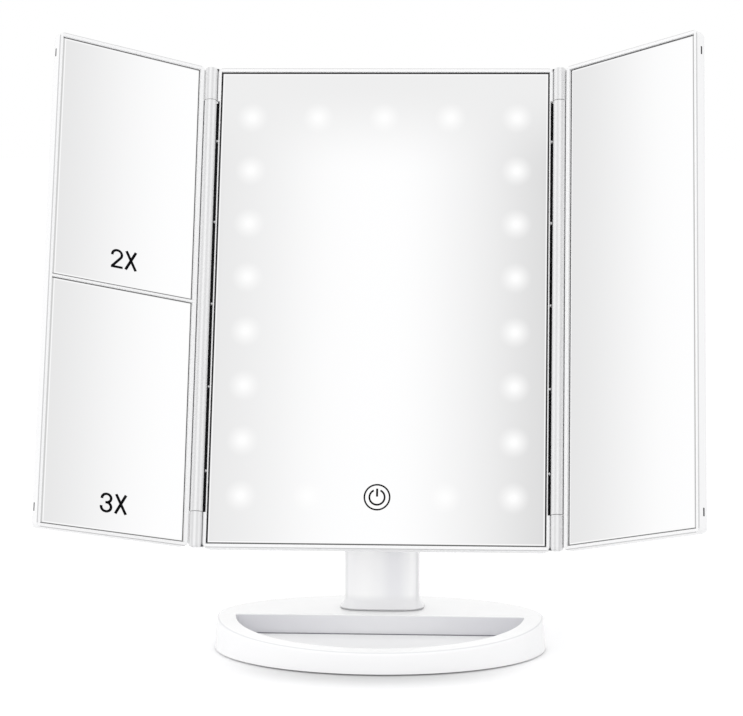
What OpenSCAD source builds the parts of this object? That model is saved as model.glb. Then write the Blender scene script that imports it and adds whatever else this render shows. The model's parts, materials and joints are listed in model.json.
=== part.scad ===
// Trifold vanity mirror on a tilting stand, lit from behind the centre glass.
// Frame: origin on the standing face under the middle of the base, +Z up, the mirror faces -Y.
// A piece of the tilting panel is drawn upright first: X across, Y depth behind the glass face, Z up
// from the bottom edge of the glass. on_panel() then leans it back about the tilt axle.
// A wing is drawn the same way, but with X running outwards from its hinge line.

/* [Pose as shown] */
// Lean of the panel, back from upright
lean = 19.4; // [0:0.1:60]
// Left wing, folded forward from flat
left_fold = 39.1; // [0:0.1:120]
// Right wing, folded forward from flat
right_fold = 41.9; // [0:0.1:120]

/* [Centre panel] */
// Width of the centre glass
glass_w = 164.5; // [150:0.5:180]
// Height of all the glasses
glass_h = 240; // [220:1:260]
// Thickness of a glass
glass_t = 1.5; // [1:0.1:2]
// Gap between a glass and its frame
glass_gap = 0.15; // [0.05:0.05:0.4]
// Width of the frame beside a glass
bezel = 2; // [1.5:0.1:3]
// Height of the frame in front of a glass
bezel_rise = 1.2; // [0.6:0.1:1.4]
// Depth of the centre frame behind the glass face
frame_depth = 4; // [3.4:0.1:5]
// Width of the ledge that a glass rests on
ledge = 4; // [2.5:0.5:6]
// Depth of the back cover behind the glass face
cover_depth = 9; // [8:0.5:10]
// Wall of the moulded covers
wall = 2; // [1.6:0.1:2.5]
// Radius of a panel's corners, seen from the front
corner_r = 2.5; // [1:0.5:4]
// Rounding of the back edges
back_r = 3; // [1:0.5:4]

/* [Side hinges] */
// Radius of the hinge barrels
barrel_r = 3.15; // [2.8:0.05:3.6]
// Hinge line in front of the glass face
axis_rise = 1.6; // [1.6:0.1:2]
// Gap between a hinge barrel and the centre frame's side
barrel_gap = 0.1; // [0.05:0.05:0.3]
// Length of an end knuckle
knuckle_len = 17.3; // [12:0.1:24]
// Gap between a knuckle and the long barrel
knuckle_gap = 0.3; // [0.2:0.1:0.8]
// Radius of a hinge pin
pin_r = 1.25; // [1:0.05:1.6]
// Radial clearance of a pin in the barrel
pin_clear = 0.06; // [0.03:0.01:0.1]
// Length of a pin inside the long barrel
pin_grip = 14; // [8:1:24]
// Depth of the side channel that the barrel turns in
channel = 1.25; // [1:0.05:1.5]
// Pitch of the small ribs across the channel
rib_pitch = 42; // [30:1:44]
// Height of a channel rib
rib_h = 0.9; // [0.5:0.1:1.5]
// Depth of the dark strip behind the channel
strip_d = 4; // [2:0.5:4.5]

/* [Wings] */
// Depth of a wing's frame behind the glass face
wing_frame_depth = 3.6; // [3:0.1:4.5]
// Depth of a wing's shell behind the glass face
wing_depth = 6.5; // [5.5:0.1:8]
// Width of the frame on the hinge side
wing_bezel_in = 2.5; // [2:0.1:4]
// Gap between the hinge barrel and a wing's frame
wing_side_gap = 0.35; // [0.3:0.05:0.6]
// Gap between the two wings when closed
meeting_gap = 1; // [0.6:0.1:2]
// Width of the bar between the two magnifiers
divider_w = 1.4; // [1:0.1:3]
// Length of a snap slot in a wing's outer edge
snap_len = 4; // [3:0.5:8]
// Height of a snap slot's middle above or below the glass corner
snap_inset = 7.8; // [6:0.1:20]

/* [Lights and touch key] */
// Rows of lights down each side
led_rows = 8; // [6:1:9]
// Lights along the top
led_cols = 5; // [3:2:7]
// Distance of the light rows from the glass edge at the side
led_side = 16; // [12:0.5:20]
// Distance of the light rows from the glass edge at top and bottom
led_end = 23.75; // [18:0.25:30]
// Radius of a light's frosted window
window_r = 2.6; // [1.5:0.1:4]
// Depth of a frosted window, etched into the back of the glass
window_depth = 0.3; // [0.1:0.1:0.5]
// Thickness of the diffuser sheet
diffuser_t = 1; // [0.6:0.1:1.2]
// Width of the light board's bars
board_w = 9; // [7:0.5:11]
// Thickness of a circuit board
board_t = 1; // [0.8:0.1:1.6]
// Radius of the touch key's copper pad
touch_r = 6.5; // [5:0.5:9]

/* [Back housing] */
// Width of the raised housing on the back
spine_w = 76; // [72:1:90]
// Bottom of the housing above the glass edge
spine_z0 = 6; // [4:1:12]
// Top of the housing above the glass edge
spine_z1 = 202; // [196:1:212]
// Depth of the housing behind the glass face
spine_depth = 17.5; // [17:0.1:19]
// Depth of the groove for the neck behind the glass face
groove_depth = 14; // [13:0.1:14.5]
// Thickness of a battery cell
cell_d = 10.4; // [10:0.1:10.6]
// Length of a battery cell without its button
cell_len = 43.7; // [43:0.1:44.5]
// Bottom of the battery box above the glass edge
box_z0 = 136; // [130:1:140]
// Thickness of the battery door
door_t = 1.8; // [1.4:0.1:2]
// Clearance round the battery door and the slide switch
slip = 0.3; // [0.2:0.05:0.5]
// Height of the slide switch above the glass edge
switch_z = 60; // [40:1:80]
// Travel of the slide switch
switch_travel = 3; // [2:0.5:4]
// Distance of the switch and the charging port outwards from the middle of their land
side_land = 0.3; // [0:0.1:1]

/* [Tilt hinge] */
// Height of the tilt axle above the base's standing face
pivot_z = 140.8; // [125:0.1:155]
// Tilt axle above the bottom edge of the glass, along the panel
pivot_up = 97.1; // [85:0.1:110]
// Tilt axle behind the glass face
pivot_back = 26.3; // [25.8:0.1:30]
// Radius of the tilt axle
axle_r = 2.5; // [2:0.1:3.5]
// Radial clearance of the neck on the axle
axle_clear = 0.05; // [0.03:0.01:0.1]
// Thickness of an ear
ear_t = 5; // [4:0.5:8]
// Radius of an ear round the axle
ear_r = 8.5; // [7.5:0.5:9]
// Thickness of a friction washer
washer_t = 1.55; // [1:0.05:2]
// Running gap beside the neck
side_clear = 0.1; // [0.05:0.05:0.3]

/* [Neck] */
// Width of the neck
neck_w = 37.5; // [32:0.5:44]
// Depth of the neck
neck_d = 20.6; // [18:0.2:22]
// Radius of the neck's corners
neck_r = 6; // [3:0.5:8]
// Crown of the neck's front and back faces
neck_crown = 1.3; // [0.6:0.1:2.5]
// Wall of the neck
neck_wall = 2.4; // [2:0.1:3]
// Middle of the neck behind the middle of the base
neck_y = 20; // [14:0.5:24]
// Spread of the foot round the neck
flare = 2.2; // [1:0.1:5]
// Height of the flared foot
flare_h = 5; // [3:0.5:10]

/* [Base] */
// Half width of the base
base_rx = 82.1; // [76:0.1:92]
// Reach of the base in front of its middle
base_front = 66; // [60:0.5:76]
// Reach of the base behind its middle
base_back = 53; // [48:0.5:62]
// Height of the base at the back
base_h = 16; // [15:0.5:20]
// Fall of the top towards the front, in degrees
base_slope = 5; // [0:0.5:6]
// Inward lean of the base's side wall
base_draft = 0.8; // [0:0.1:2]
// Rounding of the base's top edge
base_r = 2; // [1:0.5:3]
// Width of the rim at the side of the tray
rim_w = 10; // [8:0.5:14]
// Width of the rim in front of the tray
rim_front = 8; // [6:0.5:12]
// Back edge of the tray, from the middle of the base
tray_back = -1.5; // [-6:0.5:2]
// Height of the tray's floor
tray_z = 6.1; // [5.5:0.1:8]
// Thickness of the soft foot pad
pad_t = 0.8; // [0.5:0.1:2]
// Thickness of the bottom cover
cover_t = 1.8; // [1.4:0.1:2.2]
// Thickness of the steel ballast plate
ballast_t = 4; // [3:0.5:6]

/* [Hidden] */
$fn = 48;

eps = 0.01;
// Thickness of the thin layers that a rounded shape is stretched over
film = 0.05;
past = 1;
mid_z = glass_h / 2;
// Centre frame and its side channels
frame_w = glass_w + 2 * bezel;
frame_h = glass_h + 2 * bezel;
channel_w = frame_w - 2 * channel;
hinge_x = frame_w / 2 + barrel_r + barrel_gap;
low_z = -bezel;
high_z = glass_h + bezel;
barrel_z0 = low_z + knuckle_len;
barrel_z1 = high_z - knuckle_len;
strip_y = wall;
rib_set = 0.2;
ledge_w = glass_w - 2 * ledge;
ledge_h = glass_h - 2 * ledge;
// Wings, X from the hinge line
wing_in = barrel_r + wing_side_gap;
wing_out = hinge_x - meeting_gap / 2;
wing_skin = 1.2;
snap_y = glass_t + 0.4;
snap_t = 1;
foam_w = 47.4;
foam_h = 60;
wing_glass_in = wing_in + wing_bezel_in;
wing_glass_out = wing_out - bezel;
split_low = mid_z - divider_w / 2;
split_high = mid_z + divider_w / 2;
// Lights
led_x = glass_w / 2 - led_side;
led_z0 = led_end;
led_z1 = glass_h - led_end;
led_dz = (led_z1 - led_z0) / (led_rows - 1);
led_dx = 2 * led_x / (led_cols - 1);
led_size = [3.5, 1.2, 2.8];
led_y = glass_t + diffuser_t + 0.1;
board_y = led_y + led_size[1];
key_z = led_z0;
// Back cover
cover_in = cover_depth - wall;
spine_in = spine_depth - wall;
spine_r = 6;
spine_round = 3.5;
spine_mid = (spine_z0 + spine_z1) / 2;
groove_half = neck_w / 2 + side_clear + washer_t;
groove_top = pivot_up + neck_d / 2 + 2.2;
land_x = (groove_half + spine_w / 2) / 2 + side_land;
screw_x = ledge_w / 2 - 0.7;
screw_zs = [8, mid_z, glass_h - 8];
post_r = 3;
thread_r = 0.9;
hole_r = 1.5;
// Heads of the small screws and the sinks they lie in
small_head_r = 2.4;
small_head_t = 0.9;
sink_r = 2.7;
cover_sink = 1.2;
base_sink = 1;
// Battery bay
cell_pitch = cell_d + 1;
cells = 4;
contact_gap = 5;
box_floor = 1.2;
box_flange = 2.6;
box_y0 = 3;
box_in_w = (cells - 1) * cell_pitch + cell_d + 0.4;
box_w = box_in_w + 2 * box_floor;
box_in_h = cell_len + contact_gap + 2;
box_h = box_in_h + 2 * box_floor;
door_play = 0.4;
box_back = spine_depth - door_t - slip - door_play;
bay_wall = 1.6;
bay_y = spine_depth - door_t - slip - bay_wall;
cell_y = box_y0 + box_floor + cell_d / 2;
door_w = box_w + 11;
door_z0 = box_z0 - 4.7;
tongue = 1;
tongue_lip = 1.2;
grips = 5;
grip_pitch = 2.4;
grip_w = 14;
grip_d = 0.5;
contact_plate = [8, 7, 0.4];
button_r = 1.9;
button_h = 1;
// Control board
ctrl_y = groove_depth - wall - 2.8;
ctrl_w = 30;
ctrl_h = 26;
key_stem_r = 2.2;
key_socket = 7;
key_socket_h = 1.2;
// Charging port: a folded shell round a tongue, on a board that fills the land
port_w = 7.6;
port_d = 2.9;
port_set = 0.3;
port_len = 6.2;
port_skin = 0.5;
port_tongue_w = 4.4;
port_board_h = 15;
// Slide switch
switch_size = [9, 4.6, 13];
stem_size = [1.8, 1.3, 2];
knob_w = 4;
knob_h = 5;
knob_rise = 1;
// Tilt hinge
ear_in = groove_half;
ear_out = ear_in + ear_t;
head_r = 4.4;
head_h = 2.6;
nut_r = 4.5;
head_well = 3.4;
well_r = 5;
cap_r = 6.4;
cap_t = 1.1;
spigot_len = 0.6;
spigot_t = 0.85;
washer_set = 0.7;
// Neck and base
base_z = pad_t;
top_z = base_z + base_h;
slope = tan(base_slope);
shell_in = 2.2;
tray_wall = 1.8;
neck_top = pivot_z + neck_d / 2;
neck_hollow_top = pivot_z - neck_d / 2 - 4;
neck_bosses = [-neck_w * 0.29, neck_w * 0.29];
boss_r = 3.4;
boss_h = 16;
screw_r = 1.2;
screw_fit = 0.05;
hole_spare = 2;
base_screw_len = 6;
neck_screw_len = 12;
neck_head_r = 2.8;
neck_head_t = 2;
base_posts = [[-60, 14], [60, 14], [-30, 38], [30, 38]];
base_post_r = 3.4;
ballast_w = 1.2 * base_rx;
ballast_d = 36;
ballast_y = base_posts[2][1] + 2 - ballast_d / 2;

// ---- shared shapes ----

module round_rect(w, h, r) {
    square([w - 2 * r, h], center = true);
    square([w, h - 2 * r], center = true);
    for (x = [-1, 1], y = [-1, 1])
        translate([x * (w / 2 - r), y * (h / 2 - r)]) circle(r = r);
}

// A flat shape drawn across X and Z, given depth from y0 to y1
module slab(y0, y1) {
    translate([0, y1, 0]) rotate([90, 0, 0]) linear_extrude(height = y1 - y0) children();
}

// A flat shape drawn in Y and Z, given width from x0 to x1
module across(x0, x1) {
    translate([x0, 0, 0]) rotate([90, 0, 90]) linear_extrude(height = x1 - x0) children();
}

module box(x0, x1, y0, y1, z0, z1) {
    translate([x0, y0, z0]) cube([x1 - x0, y1 - y0, z1 - z0]);
}

module bar_x(x0, x1, r) {
    translate([x0, 0, 0]) rotate([0, 90, 0]) cylinder(h = x1 - x0, r = r);
}

module on_panel() {
    translate([0, neck_y, pivot_z]) rotate([-lean, 0, 0]) translate([0, -pivot_back, -pivot_up]) children();
}

module at_pivot() {
    translate([0, pivot_back, pivot_up]) children();
}

// side is 1 for the right wing and -1 for the left, which is the mirror image
module on_wing(side, fold) {
    on_panel() mirror([side > 0 ? 0 : 1, 0, 0])
        translate([hinge_x, -axis_rise, 0]) rotate([0, 0, -fold]) translate([0, axis_rise, 0]) children();
}

// A housing that stands on y0, with a rounded edge round its back face at y1
module pillow(w, h, r, y0, y1, edge) {
    hull() {
        slab(y0, y1 - edge) round_rect(w, h, r, $fn = 32);
        for (a = [22.5:22.5:90])
            let (inset = edge * (1 - cos(a)), y = y1 - edge + edge * sin(a))
                slab(y - film, y) round_rect(w - 2 * inset, h - 2 * inset, max(r - inset, 0.4), $fn = 32);
    }
}

// A round barrel along Z whose end at z1 is rounded over
module knuckle(z0, z1, edge = 1.5) {
    translate([0, 0, z0]) rotate_extrude() {
        square([barrel_r - edge, z1 - z0]);
        square([barrel_r, z1 - z0 - edge]);
        translate([barrel_r - edge, z1 - z0 - edge]) intersection() {
            circle(r = edge);
            square(edge);
        }
    }
}

function led_places() = concat(
    [for (i = [0:led_cols - 1]) [-led_x + i * led_dx, led_z1]],
    [for (s = [-1, 1], i = [0:led_rows - 2]) [s * led_x, led_z0 + i * led_dz]],
    [for (s = [-1, 1]) [s * led_dx, led_z0]]
);

// ---- base ----

function base_outline(inset, from = 0, to = 360) =
    [for (a = [from:5:to])
        [(base_rx - inset) * cos(a), ((a > 180 ? base_front : base_back) - inset) * sin(a)]];

// One level of the base: flat behind the middle and falling to the front
module base_level(inset, z) {
    translate([0, 0, z]) linear_extrude(height = eps) polygon(base_outline(inset, 0, 180));
    multmatrix([[1, 0, 0, 0], [0, 1, 0, 0], [0, slope, 1, z], [0, 0, 0, 1]])
        linear_extrude(height = eps) polygon(base_outline(inset, 180, 360));
}

module base_body(inset, z0, top, edge) {
    hull() {
        translate([0, 0, z0]) linear_extrude(height = eps) polygon(base_outline(inset));
        for (a = [0:22.5:90])
            base_level(inset + base_draft + edge * (1 - cos(a)), top - edge * (1 - sin(a)) - eps);
    }
}

module tray_outline(grow = 0) {
    intersection() {
        polygon([for (a = [180:5:360])
            [(base_rx - rim_w + grow) * cos(a), (base_front - rim_front + grow) * sin(a)]]);
        translate([-base_rx, tray_back - base_front]) square([2 * base_rx, base_front + grow]);
    }
}

module base_shell() color("white") {
    difference() {
        base_body(0, base_z, top_z, base_r);
        difference() {
            base_body(shell_in, base_z - past, top_z - shell_in, base_r);
            translate([0, 0, base_z + tray_z - tray_wall])
                linear_extrude(height = base_h) tray_outline(shell_in);
            for (p = base_posts)
                translate([p[0], p[1], base_z + cover_t]) cylinder(h = base_h, r = base_post_r);
        }
        translate([0, 0, base_z + tray_z]) linear_extrude(height = base_h) tray_outline();
        for (p = base_posts)
            translate([p[0], p[1], base_z]) cylinder(h = cover_t + base_screw_len + hole_spare, r = screw_r);
        for (x = neck_bosses)
            translate([x, neck_y, base_z]) cylinder(h = base_h + past, r = screw_r + 0.3);
    }
}

module base_cover() color("whitesmoke") {
    difference() {
        translate([0, 0, base_z]) linear_extrude(height = cover_t)
            polygon(base_outline(shell_in + 0.3));
        for (p = base_posts)
            translate([p[0], p[1], base_z - past]) {
                cylinder(h = cover_t + 2 * past, r = screw_r + 0.3);
                cylinder(h = past + base_sink, r = sink_r);
            }
    }
}

module ballast_plate() color("slategray") {
    translate([0, 0, base_z + cover_t]) linear_extrude(height = ballast_t) difference() {
        translate([0, ballast_y]) round_rect(ballast_w, ballast_d, 8);
        for (p = base_posts)
            translate(p) circle(r = base_post_r + 0.6);
    }
}

module foot_pad() color("dimgray") {
    linear_extrude(height = pad_t) polygon(base_outline(7));
}

module base_screws() color("silver") {
    for (p = base_posts)
        translate([p[0], p[1], base_z + base_sink - small_head_t]) {
            cylinder(h = small_head_t, r = small_head_r);
            cylinder(h = cover_t + base_screw_len, r = screw_r - screw_fit);
        }
}

// ---- neck ----

module neck_outline(grow = 0) {
    w = neck_w + 2 * grow;
    d = neck_d + 2 * grow;
    r = neck_r + grow;
    flat_d = d - 2 * neck_crown;
    bow = (pow(w / 2 - r / 2, 2) + pow(neck_crown, 2)) / (2 * neck_crown);
    round_rect(w, flat_d, r);
    for (s = [-1, 1])
        intersection() {
            translate([0, s * (d / 2 - bow)]) circle(r = bow, $fn = 180);
            translate([-(w / 2 - r / 2), s > 0 ? 0 : -d / 2]) square([w - r, d / 2]);
        }
}

module neck_column() color("white") {
    difference() {
        translate([0, neck_y, 0]) {
            intersection() {
                translate([0, 0, top_z]) linear_extrude(height = neck_top - top_z) neck_outline();
                union() {
                    box(-neck_w, neck_w, -neck_d, neck_d, top_z, pivot_z);
                    translate([0, 0, pivot_z]) bar_x(-neck_w, neck_w, neck_d / 2);
                }
            }
            for (i = [0:3])
                hull() {
                    flare_level(i / 4);
                    flare_level((i + 1) / 4);
                }
        }
        difference() {
            translate([0, neck_y, top_z + neck_wall])
                linear_extrude(height = neck_hollow_top - top_z - neck_wall) neck_outline(-neck_wall);
            for (x = neck_bosses)
                translate([x, neck_y, top_z]) cylinder(h = boss_h, r = boss_r);
        }
        for (x = neck_bosses)
            translate([x, neck_y, top_z - past]) cylinder(h = past + neck_screw_len + hole_spare, r = screw_r);
        translate([0, neck_y, pivot_z]) bar_x(-neck_w, neck_w, axle_r + axle_clear);
    }
}

// One level of the flared foot, t running from 0 at the base to 1 at the column
module flare_level(t) {
    translate([0, 0, top_z + (t == 0 ? 0 : 0.6 + (flare_h - 0.6) * t)])
        linear_extrude(height = eps) neck_outline(flare * pow(1 - t, 2), $fn = 32);
}

module neck_screws() color("silver") {
    for (x = neck_bosses)
        translate([x, neck_y, top_z - shell_in - neck_head_t]) {
            cylinder(h = neck_head_t, r = neck_head_r);
            cylinder(h = neck_head_t + shell_in + neck_screw_len, r = screw_r - screw_fit);
        }
}

// ---- centre panel ----

module frame_outline() {
    difference() {
        translate([0, mid_z]) round_rect(frame_w, frame_h, corner_r);
        for (s = [-1, 1])
            translate([s > 0 ? channel_w / 2 : -channel_w / 2 - past - channel, barrel_z0])
                square([channel + past, barrel_z1 - barrel_z0]);
    }
}

module glass_outline(grow = 0) {
    translate([-glass_w / 2 - grow, -grow]) square([glass_w + 2 * grow, glass_h + 2 * grow]);
}

module ledge_outline(grow = 0) {
    translate([0, mid_z]) round_rect(ledge_w + 2 * grow, ledge_h + 2 * grow, 2);
}

module centre_frame() color("white") on_panel() {
    difference() {
        union() {
            slab(-bezel_rise, frame_depth) frame_outline();
            for (s = [-1, 1]) {
                for (up = [0, 1])
                    translate([s * hinge_x, -axis_rise, mid_z]) mirror([0, 0, 1 - up]) {
                        knuckle(mid_z - knuckle_len + knuckle_gap / 2 + bezel, mid_z + bezel);
                        box(s > 0 ? -barrel_r - past : 0, s > 0 ? 0 : barrel_r + past,
                            axis_rise - bezel_rise, barrel_r,
                            mid_z - knuckle_len + knuckle_gap / 2 + bezel, mid_z + bezel);
                    }
                for (i = [-2:2])
                    translate([s * channel_w / 2, 0, mid_z + i * rib_pitch])
                        box(s > 0 ? -past : -channel + rib_set, s > 0 ? channel - rib_set : past,
                            -bezel_rise + slip, strip_y, -rib_h / 2, rib_h / 2);
                for (z = screw_zs)
                    translate([s * screw_x, 0, z]) rotate([-90, 0, 0]) cylinder(h = cover_in, r = post_r);
            }
        }
        slab(-bezel_rise - past, glass_t) glass_outline(glass_gap);
        difference() {
            slab(0, frame_depth + past) ledge_outline();
            for (s = [-1, 1], z = screw_zs)
                translate([s * screw_x, glass_t, z]) rotate([-90, 0, 0]) cylinder(h = cover_in, r = post_r);
        }
        for (s = [-1, 1], z = screw_zs)
            translate([s * screw_x, glass_t + 1, z]) rotate([-90, 0, 0]) cylinder(h = cover_in, r = thread_r);
        for (s = [-1, 1], up = [0, 1])
            translate([s * hinge_x, -axis_rise, mid_z]) mirror([0, 0, 1 - up])
                translate([0, 0, mid_z - knuckle_len]) cylinder(h = knuckle_len, r = pin_r);
    }
}

module led_windows(depth) {
    for (p = led_places())
        translate([p[0], glass_t - depth, p[1]]) rotate([-90, 0, 0]) cylinder(h = depth + past, r = window_r);
}

module centre_mirror() color("gainsboro") on_panel() {
    difference() {
        slab(0, glass_t) glass_outline();
        led_windows(window_depth);
    }
}

module light_diffuser() color("ivory") on_panel() {
    difference() {
        slab(glass_t, glass_t + diffuser_t) ledge_outline(-slip);
        for (s = [-1, 1], z = screw_zs)
            translate([s * screw_x, 0, z]) rotate([-90, 0, 0]) cylinder(h = cover_in, r = post_r + slip);
    }
}

module led_board() color("seagreen") on_panel() {
    slab(board_y, board_y + board_t) {
        for (s = [-1, 1])
            translate([s * led_x, mid_z]) square([board_w, led_z1 - led_z0 + board_w], center = true);
        translate([0, led_z1]) square([2 * led_x + board_w, board_w], center = true);
        for (s = [-1, 1])
            translate([s * (led_x + led_dx - board_w / 2) / 2, led_z0])
                square([led_x - led_dx + board_w, board_w], center = true);
    }
}

module led_chips() color("lightyellow") on_panel() {
    for (p = led_places())
        translate([p[0] - led_size[0] / 2, led_y, p[1] - led_size[2] / 2]) cube(led_size);
}

module touch_sensor() color("peru") on_panel() {
    y0 = glass_t + diffuser_t + 0.1;
    translate([0, y0, key_z]) rotate([-90, 0, 0]) {
        cylinder(h = 0.5, r = touch_r);
        difference() {
            cylinder(h = ctrl_y - key_socket_h - y0, r = key_stem_r);
            translate([0, 0, 0.5]) cylinder(h = ctrl_y, r = key_stem_r - 0.6);
        }
    }
}

module control_board() color("darkgreen") on_panel() {
    translate([0, 0, key_z]) {
        box(-ctrl_w / 2, ctrl_w / 2, ctrl_y, ctrl_y + board_t, -ctrl_h / 2, ctrl_h / 2);
        box(-key_socket / 2, key_socket / 2, ctrl_y - key_socket_h, ctrl_y, -key_socket / 2, key_socket / 2);
        box(-12, -8, ctrl_y - 1.6, ctrl_y, -6, 2);
        box(8, 12, ctrl_y - 2, ctrl_y, -2, 6);
    }
}

// ---- back cover ----

module ear_outline() {
    root = 1.5 * ear_r;
    rise = pivot_back - spine_depth;
    polygon([[-rise - past, -root], [-rise, -root], [0, -ear_r], [0, ear_r], [-rise, root], [-rise - past, root]]);
    circle(r = ear_r);
}

module back_cover() color("white") on_panel() {
    difference() {
        union() {
            difference() {
                union() {
                    translate([0, 0, mid_z])
                        pillow(channel_w, frame_h, corner_r, frame_depth, cover_depth, back_r);
                    translate([0, 0, spine_mid])
                        pillow(spine_w, spine_z1 - spine_z0, spine_r, cover_in, spine_depth, spine_round);
                }
                cover_hollow();
                groove(0);
                battery_opening();
            }
            for (s = [-1, 1])
                at_pivot() across(s > 0 ? ear_in : -ear_out, s > 0 ? ear_out : -ear_in) ear_outline();
            board_posts();
        }
        for (s = [-1, 1], z = screw_zs)
            translate([s * screw_x, cover_in - past, z]) rotate([-90, 0, 0]) {
                cylinder(h = wall + 2 * past, r = hole_r);
                translate([0, 0, past + wall - cover_sink]) cylinder(h = past + cover_sink, r = sink_r);
            }
        translate([land_x, 0, switch_z + switch_travel / 2])
            slab(spine_in - past, spine_depth + past)
                square([knob_w + slip, knob_h + switch_travel + slip], center = true);
        translate([-land_x, spine_in - board_t, spine_z0])
            box(-port_w / 2 - slip, port_w / 2 + slip, -port_d - slip, slip, -past, port_len + slip);
        at_pivot() bar_x(-2 * ear_out, 2 * ear_out, axle_r + axle_clear);
        for (s = [-1, 1])
            at_pivot() bar_x(s > 0 ? ear_out - head_well : -ear_out - past,
                             s > 0 ? ear_out + past : -ear_out + head_well, well_r);
    }
}

module cover_hollow() {
    translate([0, 0, mid_z])
        slab(frame_depth - past, cover_in) round_rect(channel_w - 2 * wall, frame_h - 2 * wall, 1.5);
    difference() {
        translate([0, 0, spine_mid])
            slab(cover_in - past, spine_in)
                round_rect(spine_w - 2 * wall, spine_z1 - spine_z0 - 2 * wall, spine_r - wall);
        groove(wall);
        box(-spine_w, spine_w, bay_y, spine_depth, door_z0 - bay_wall, spine_z1);
    }
}

module groove(grow) {
    box(-groove_half - grow, groove_half + grow, groove_depth - grow, spine_depth + past,
        low_z - 2 * past, groove_top + grow);
}

module battery_opening() {
    box(-box_w / 2 - slip, box_w / 2 + slip, box_y0 + past, spine_depth + past,
        box_z0 - slip, box_z0 + box_h + slip);
    box(-door_w / 2 - slip, door_w / 2 + slip, spine_depth - door_t - slip, spine_depth + past,
        door_z0 - slip, spine_z1 + past);
    box(-door_w / 2 - tongue - slip, door_w / 2 + tongue + slip,
        spine_depth - door_t - slip, spine_depth - tongue_lip + slip, door_z0 - slip, spine_z1 + past);
}

module board_posts() {
    for (s = [-1, 1], z = [led_z0 + board_w, mid_z - led_dz, mid_z + led_dz, led_z1 - board_w])
        translate([s * led_x, board_y + board_t, z]) rotate([-90, 0, 0])
            cylinder(h = cover_in - board_y - board_t + eps, r = 2);
    for (x = [-1, 1], z = [-1, 1])
        translate([x * (ctrl_w / 2 - 3), ctrl_y + board_t, key_z + z * (ctrl_h / 2 - 3)]) rotate([-90, 0, 0])
            cylinder(h = groove_depth - wall - ctrl_y - board_t + eps, r = 1.8);
}

module cover_screws() color("silver") on_panel() {
    for (s = [-1, 1], z = screw_zs)
        translate([s * screw_x, 0, z]) rotate([-90, 0, 0]) {
            translate([0, 0, cover_depth - cover_sink]) cylinder(h = small_head_t, r = small_head_r);
            translate([0, 0, glass_t + 2]) cylinder(h = cover_depth - glass_t - 3, r = thread_r - screw_fit);
        }
}

module hinge_gap_strip(s) {
    on_panel() translate([s * channel_w / 2, 0, 0])
        box(s > 0 ? 0 : -channel - 1.3, s > 0 ? channel + 1.3 : 0, strip_y, strip_y + strip_d,
            barrel_z0 + slip, barrel_z1 - slip);
}

module hinge_gap_strip_left() color("black") hinge_gap_strip(-1);
module hinge_gap_strip_right() color("black") hinge_gap_strip(1);

module hinge_pins(s) {
    on_panel() for (up = [0, 1])
        translate([s * hinge_x, -axis_rise, mid_z]) mirror([0, 0, 1 - up])
            translate([0, 0, mid_z - knuckle_len + bezel - pin_grip])
                cylinder(h = pin_grip + knuckle_len - bezel, r = pin_r);
}

module hinge_pins_left() color("silver") hinge_pins(-1);
module hinge_pins_right() color("silver") hinge_pins(1);

// ---- batteries, charging port and switch ----

module battery_box() color("white") on_panel() {
    difference() {
        union() {
            box(-box_w / 2, box_w / 2, box_y0, box_back, box_z0, box_z0 + box_h);
            box(-box_w / 2 - box_flange, box_w / 2 + box_flange, bay_y - 1.2, bay_y,
                box_z0 - box_flange, box_z0 + box_h + box_flange);
        }
        box(-box_in_w / 2, box_in_w / 2, box_y0 + box_floor, spine_depth,
            box_z0 + box_floor, box_z0 + box_floor + box_in_h);
    }
}

module battery_cells() color("goldenrod") on_panel() {
    for (i = [0:cells - 1])
        translate([(i - (cells - 1) / 2) * cell_pitch, cell_y, box_z0 + box_h / 2])
            mirror([0, 0, i % 2]) translate([0, 0, -box_in_h / 2 + contact_gap]) {
                cylinder(h = cell_len, r = cell_d / 2);
                cylinder(h = cell_len + button_h, r = button_r);
            }
}

module battery_contacts() color("silver") on_panel() {
    for (i = [0:cells - 1])
        translate([(i - (cells - 1) / 2) * cell_pitch, cell_y, box_z0 + box_h / 2])
            mirror([0, 0, i % 2]) {
                translate([0, 0, -box_in_h / 2]) {
                    contact_plate();
                    difference() {
                        cylinder(h = contact_gap - 0.1, r1 = 3.4, r2 = 2.2);
                        translate([0, 0, 0.4]) cylinder(h = contact_gap, r1 = 2.8, r2 = 1.6);
                    }
                }
                translate([0, 0, box_in_h / 2 - contact_plate[2]]) contact_plate();
            }
}

module contact_plate() {
    translate([-contact_plate[0] / 2, -contact_plate[1] / 2, 0]) cube(contact_plate);
}

module battery_door() color("white") on_panel() {
    rise_y = spine_depth - door_t;
    difference() {
        union() {
            intersection() {
                box(-door_w / 2, door_w / 2, rise_y, spine_depth, door_z0, spine_z1);
                translate([0, 0, spine_mid])
                    pillow(spine_w, spine_z1 - spine_z0, spine_r, cover_in, spine_depth, spine_round);
            }
            box(-door_w / 2 - tongue, door_w / 2 + tongue, rise_y, spine_depth - tongue_lip,
                door_z0 + 4, box_z0 + box_h);
        }
        for (i = [0:grips - 1])
            let (half_w = grip_w / 2 - abs(i - (grips - 1) / 2))
                translate([0, spine_depth, door_z0 + 8 + i * grip_pitch])
                    box(-half_w, half_w, -grip_d, past, -grip_d, grip_d);
    }
}

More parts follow.
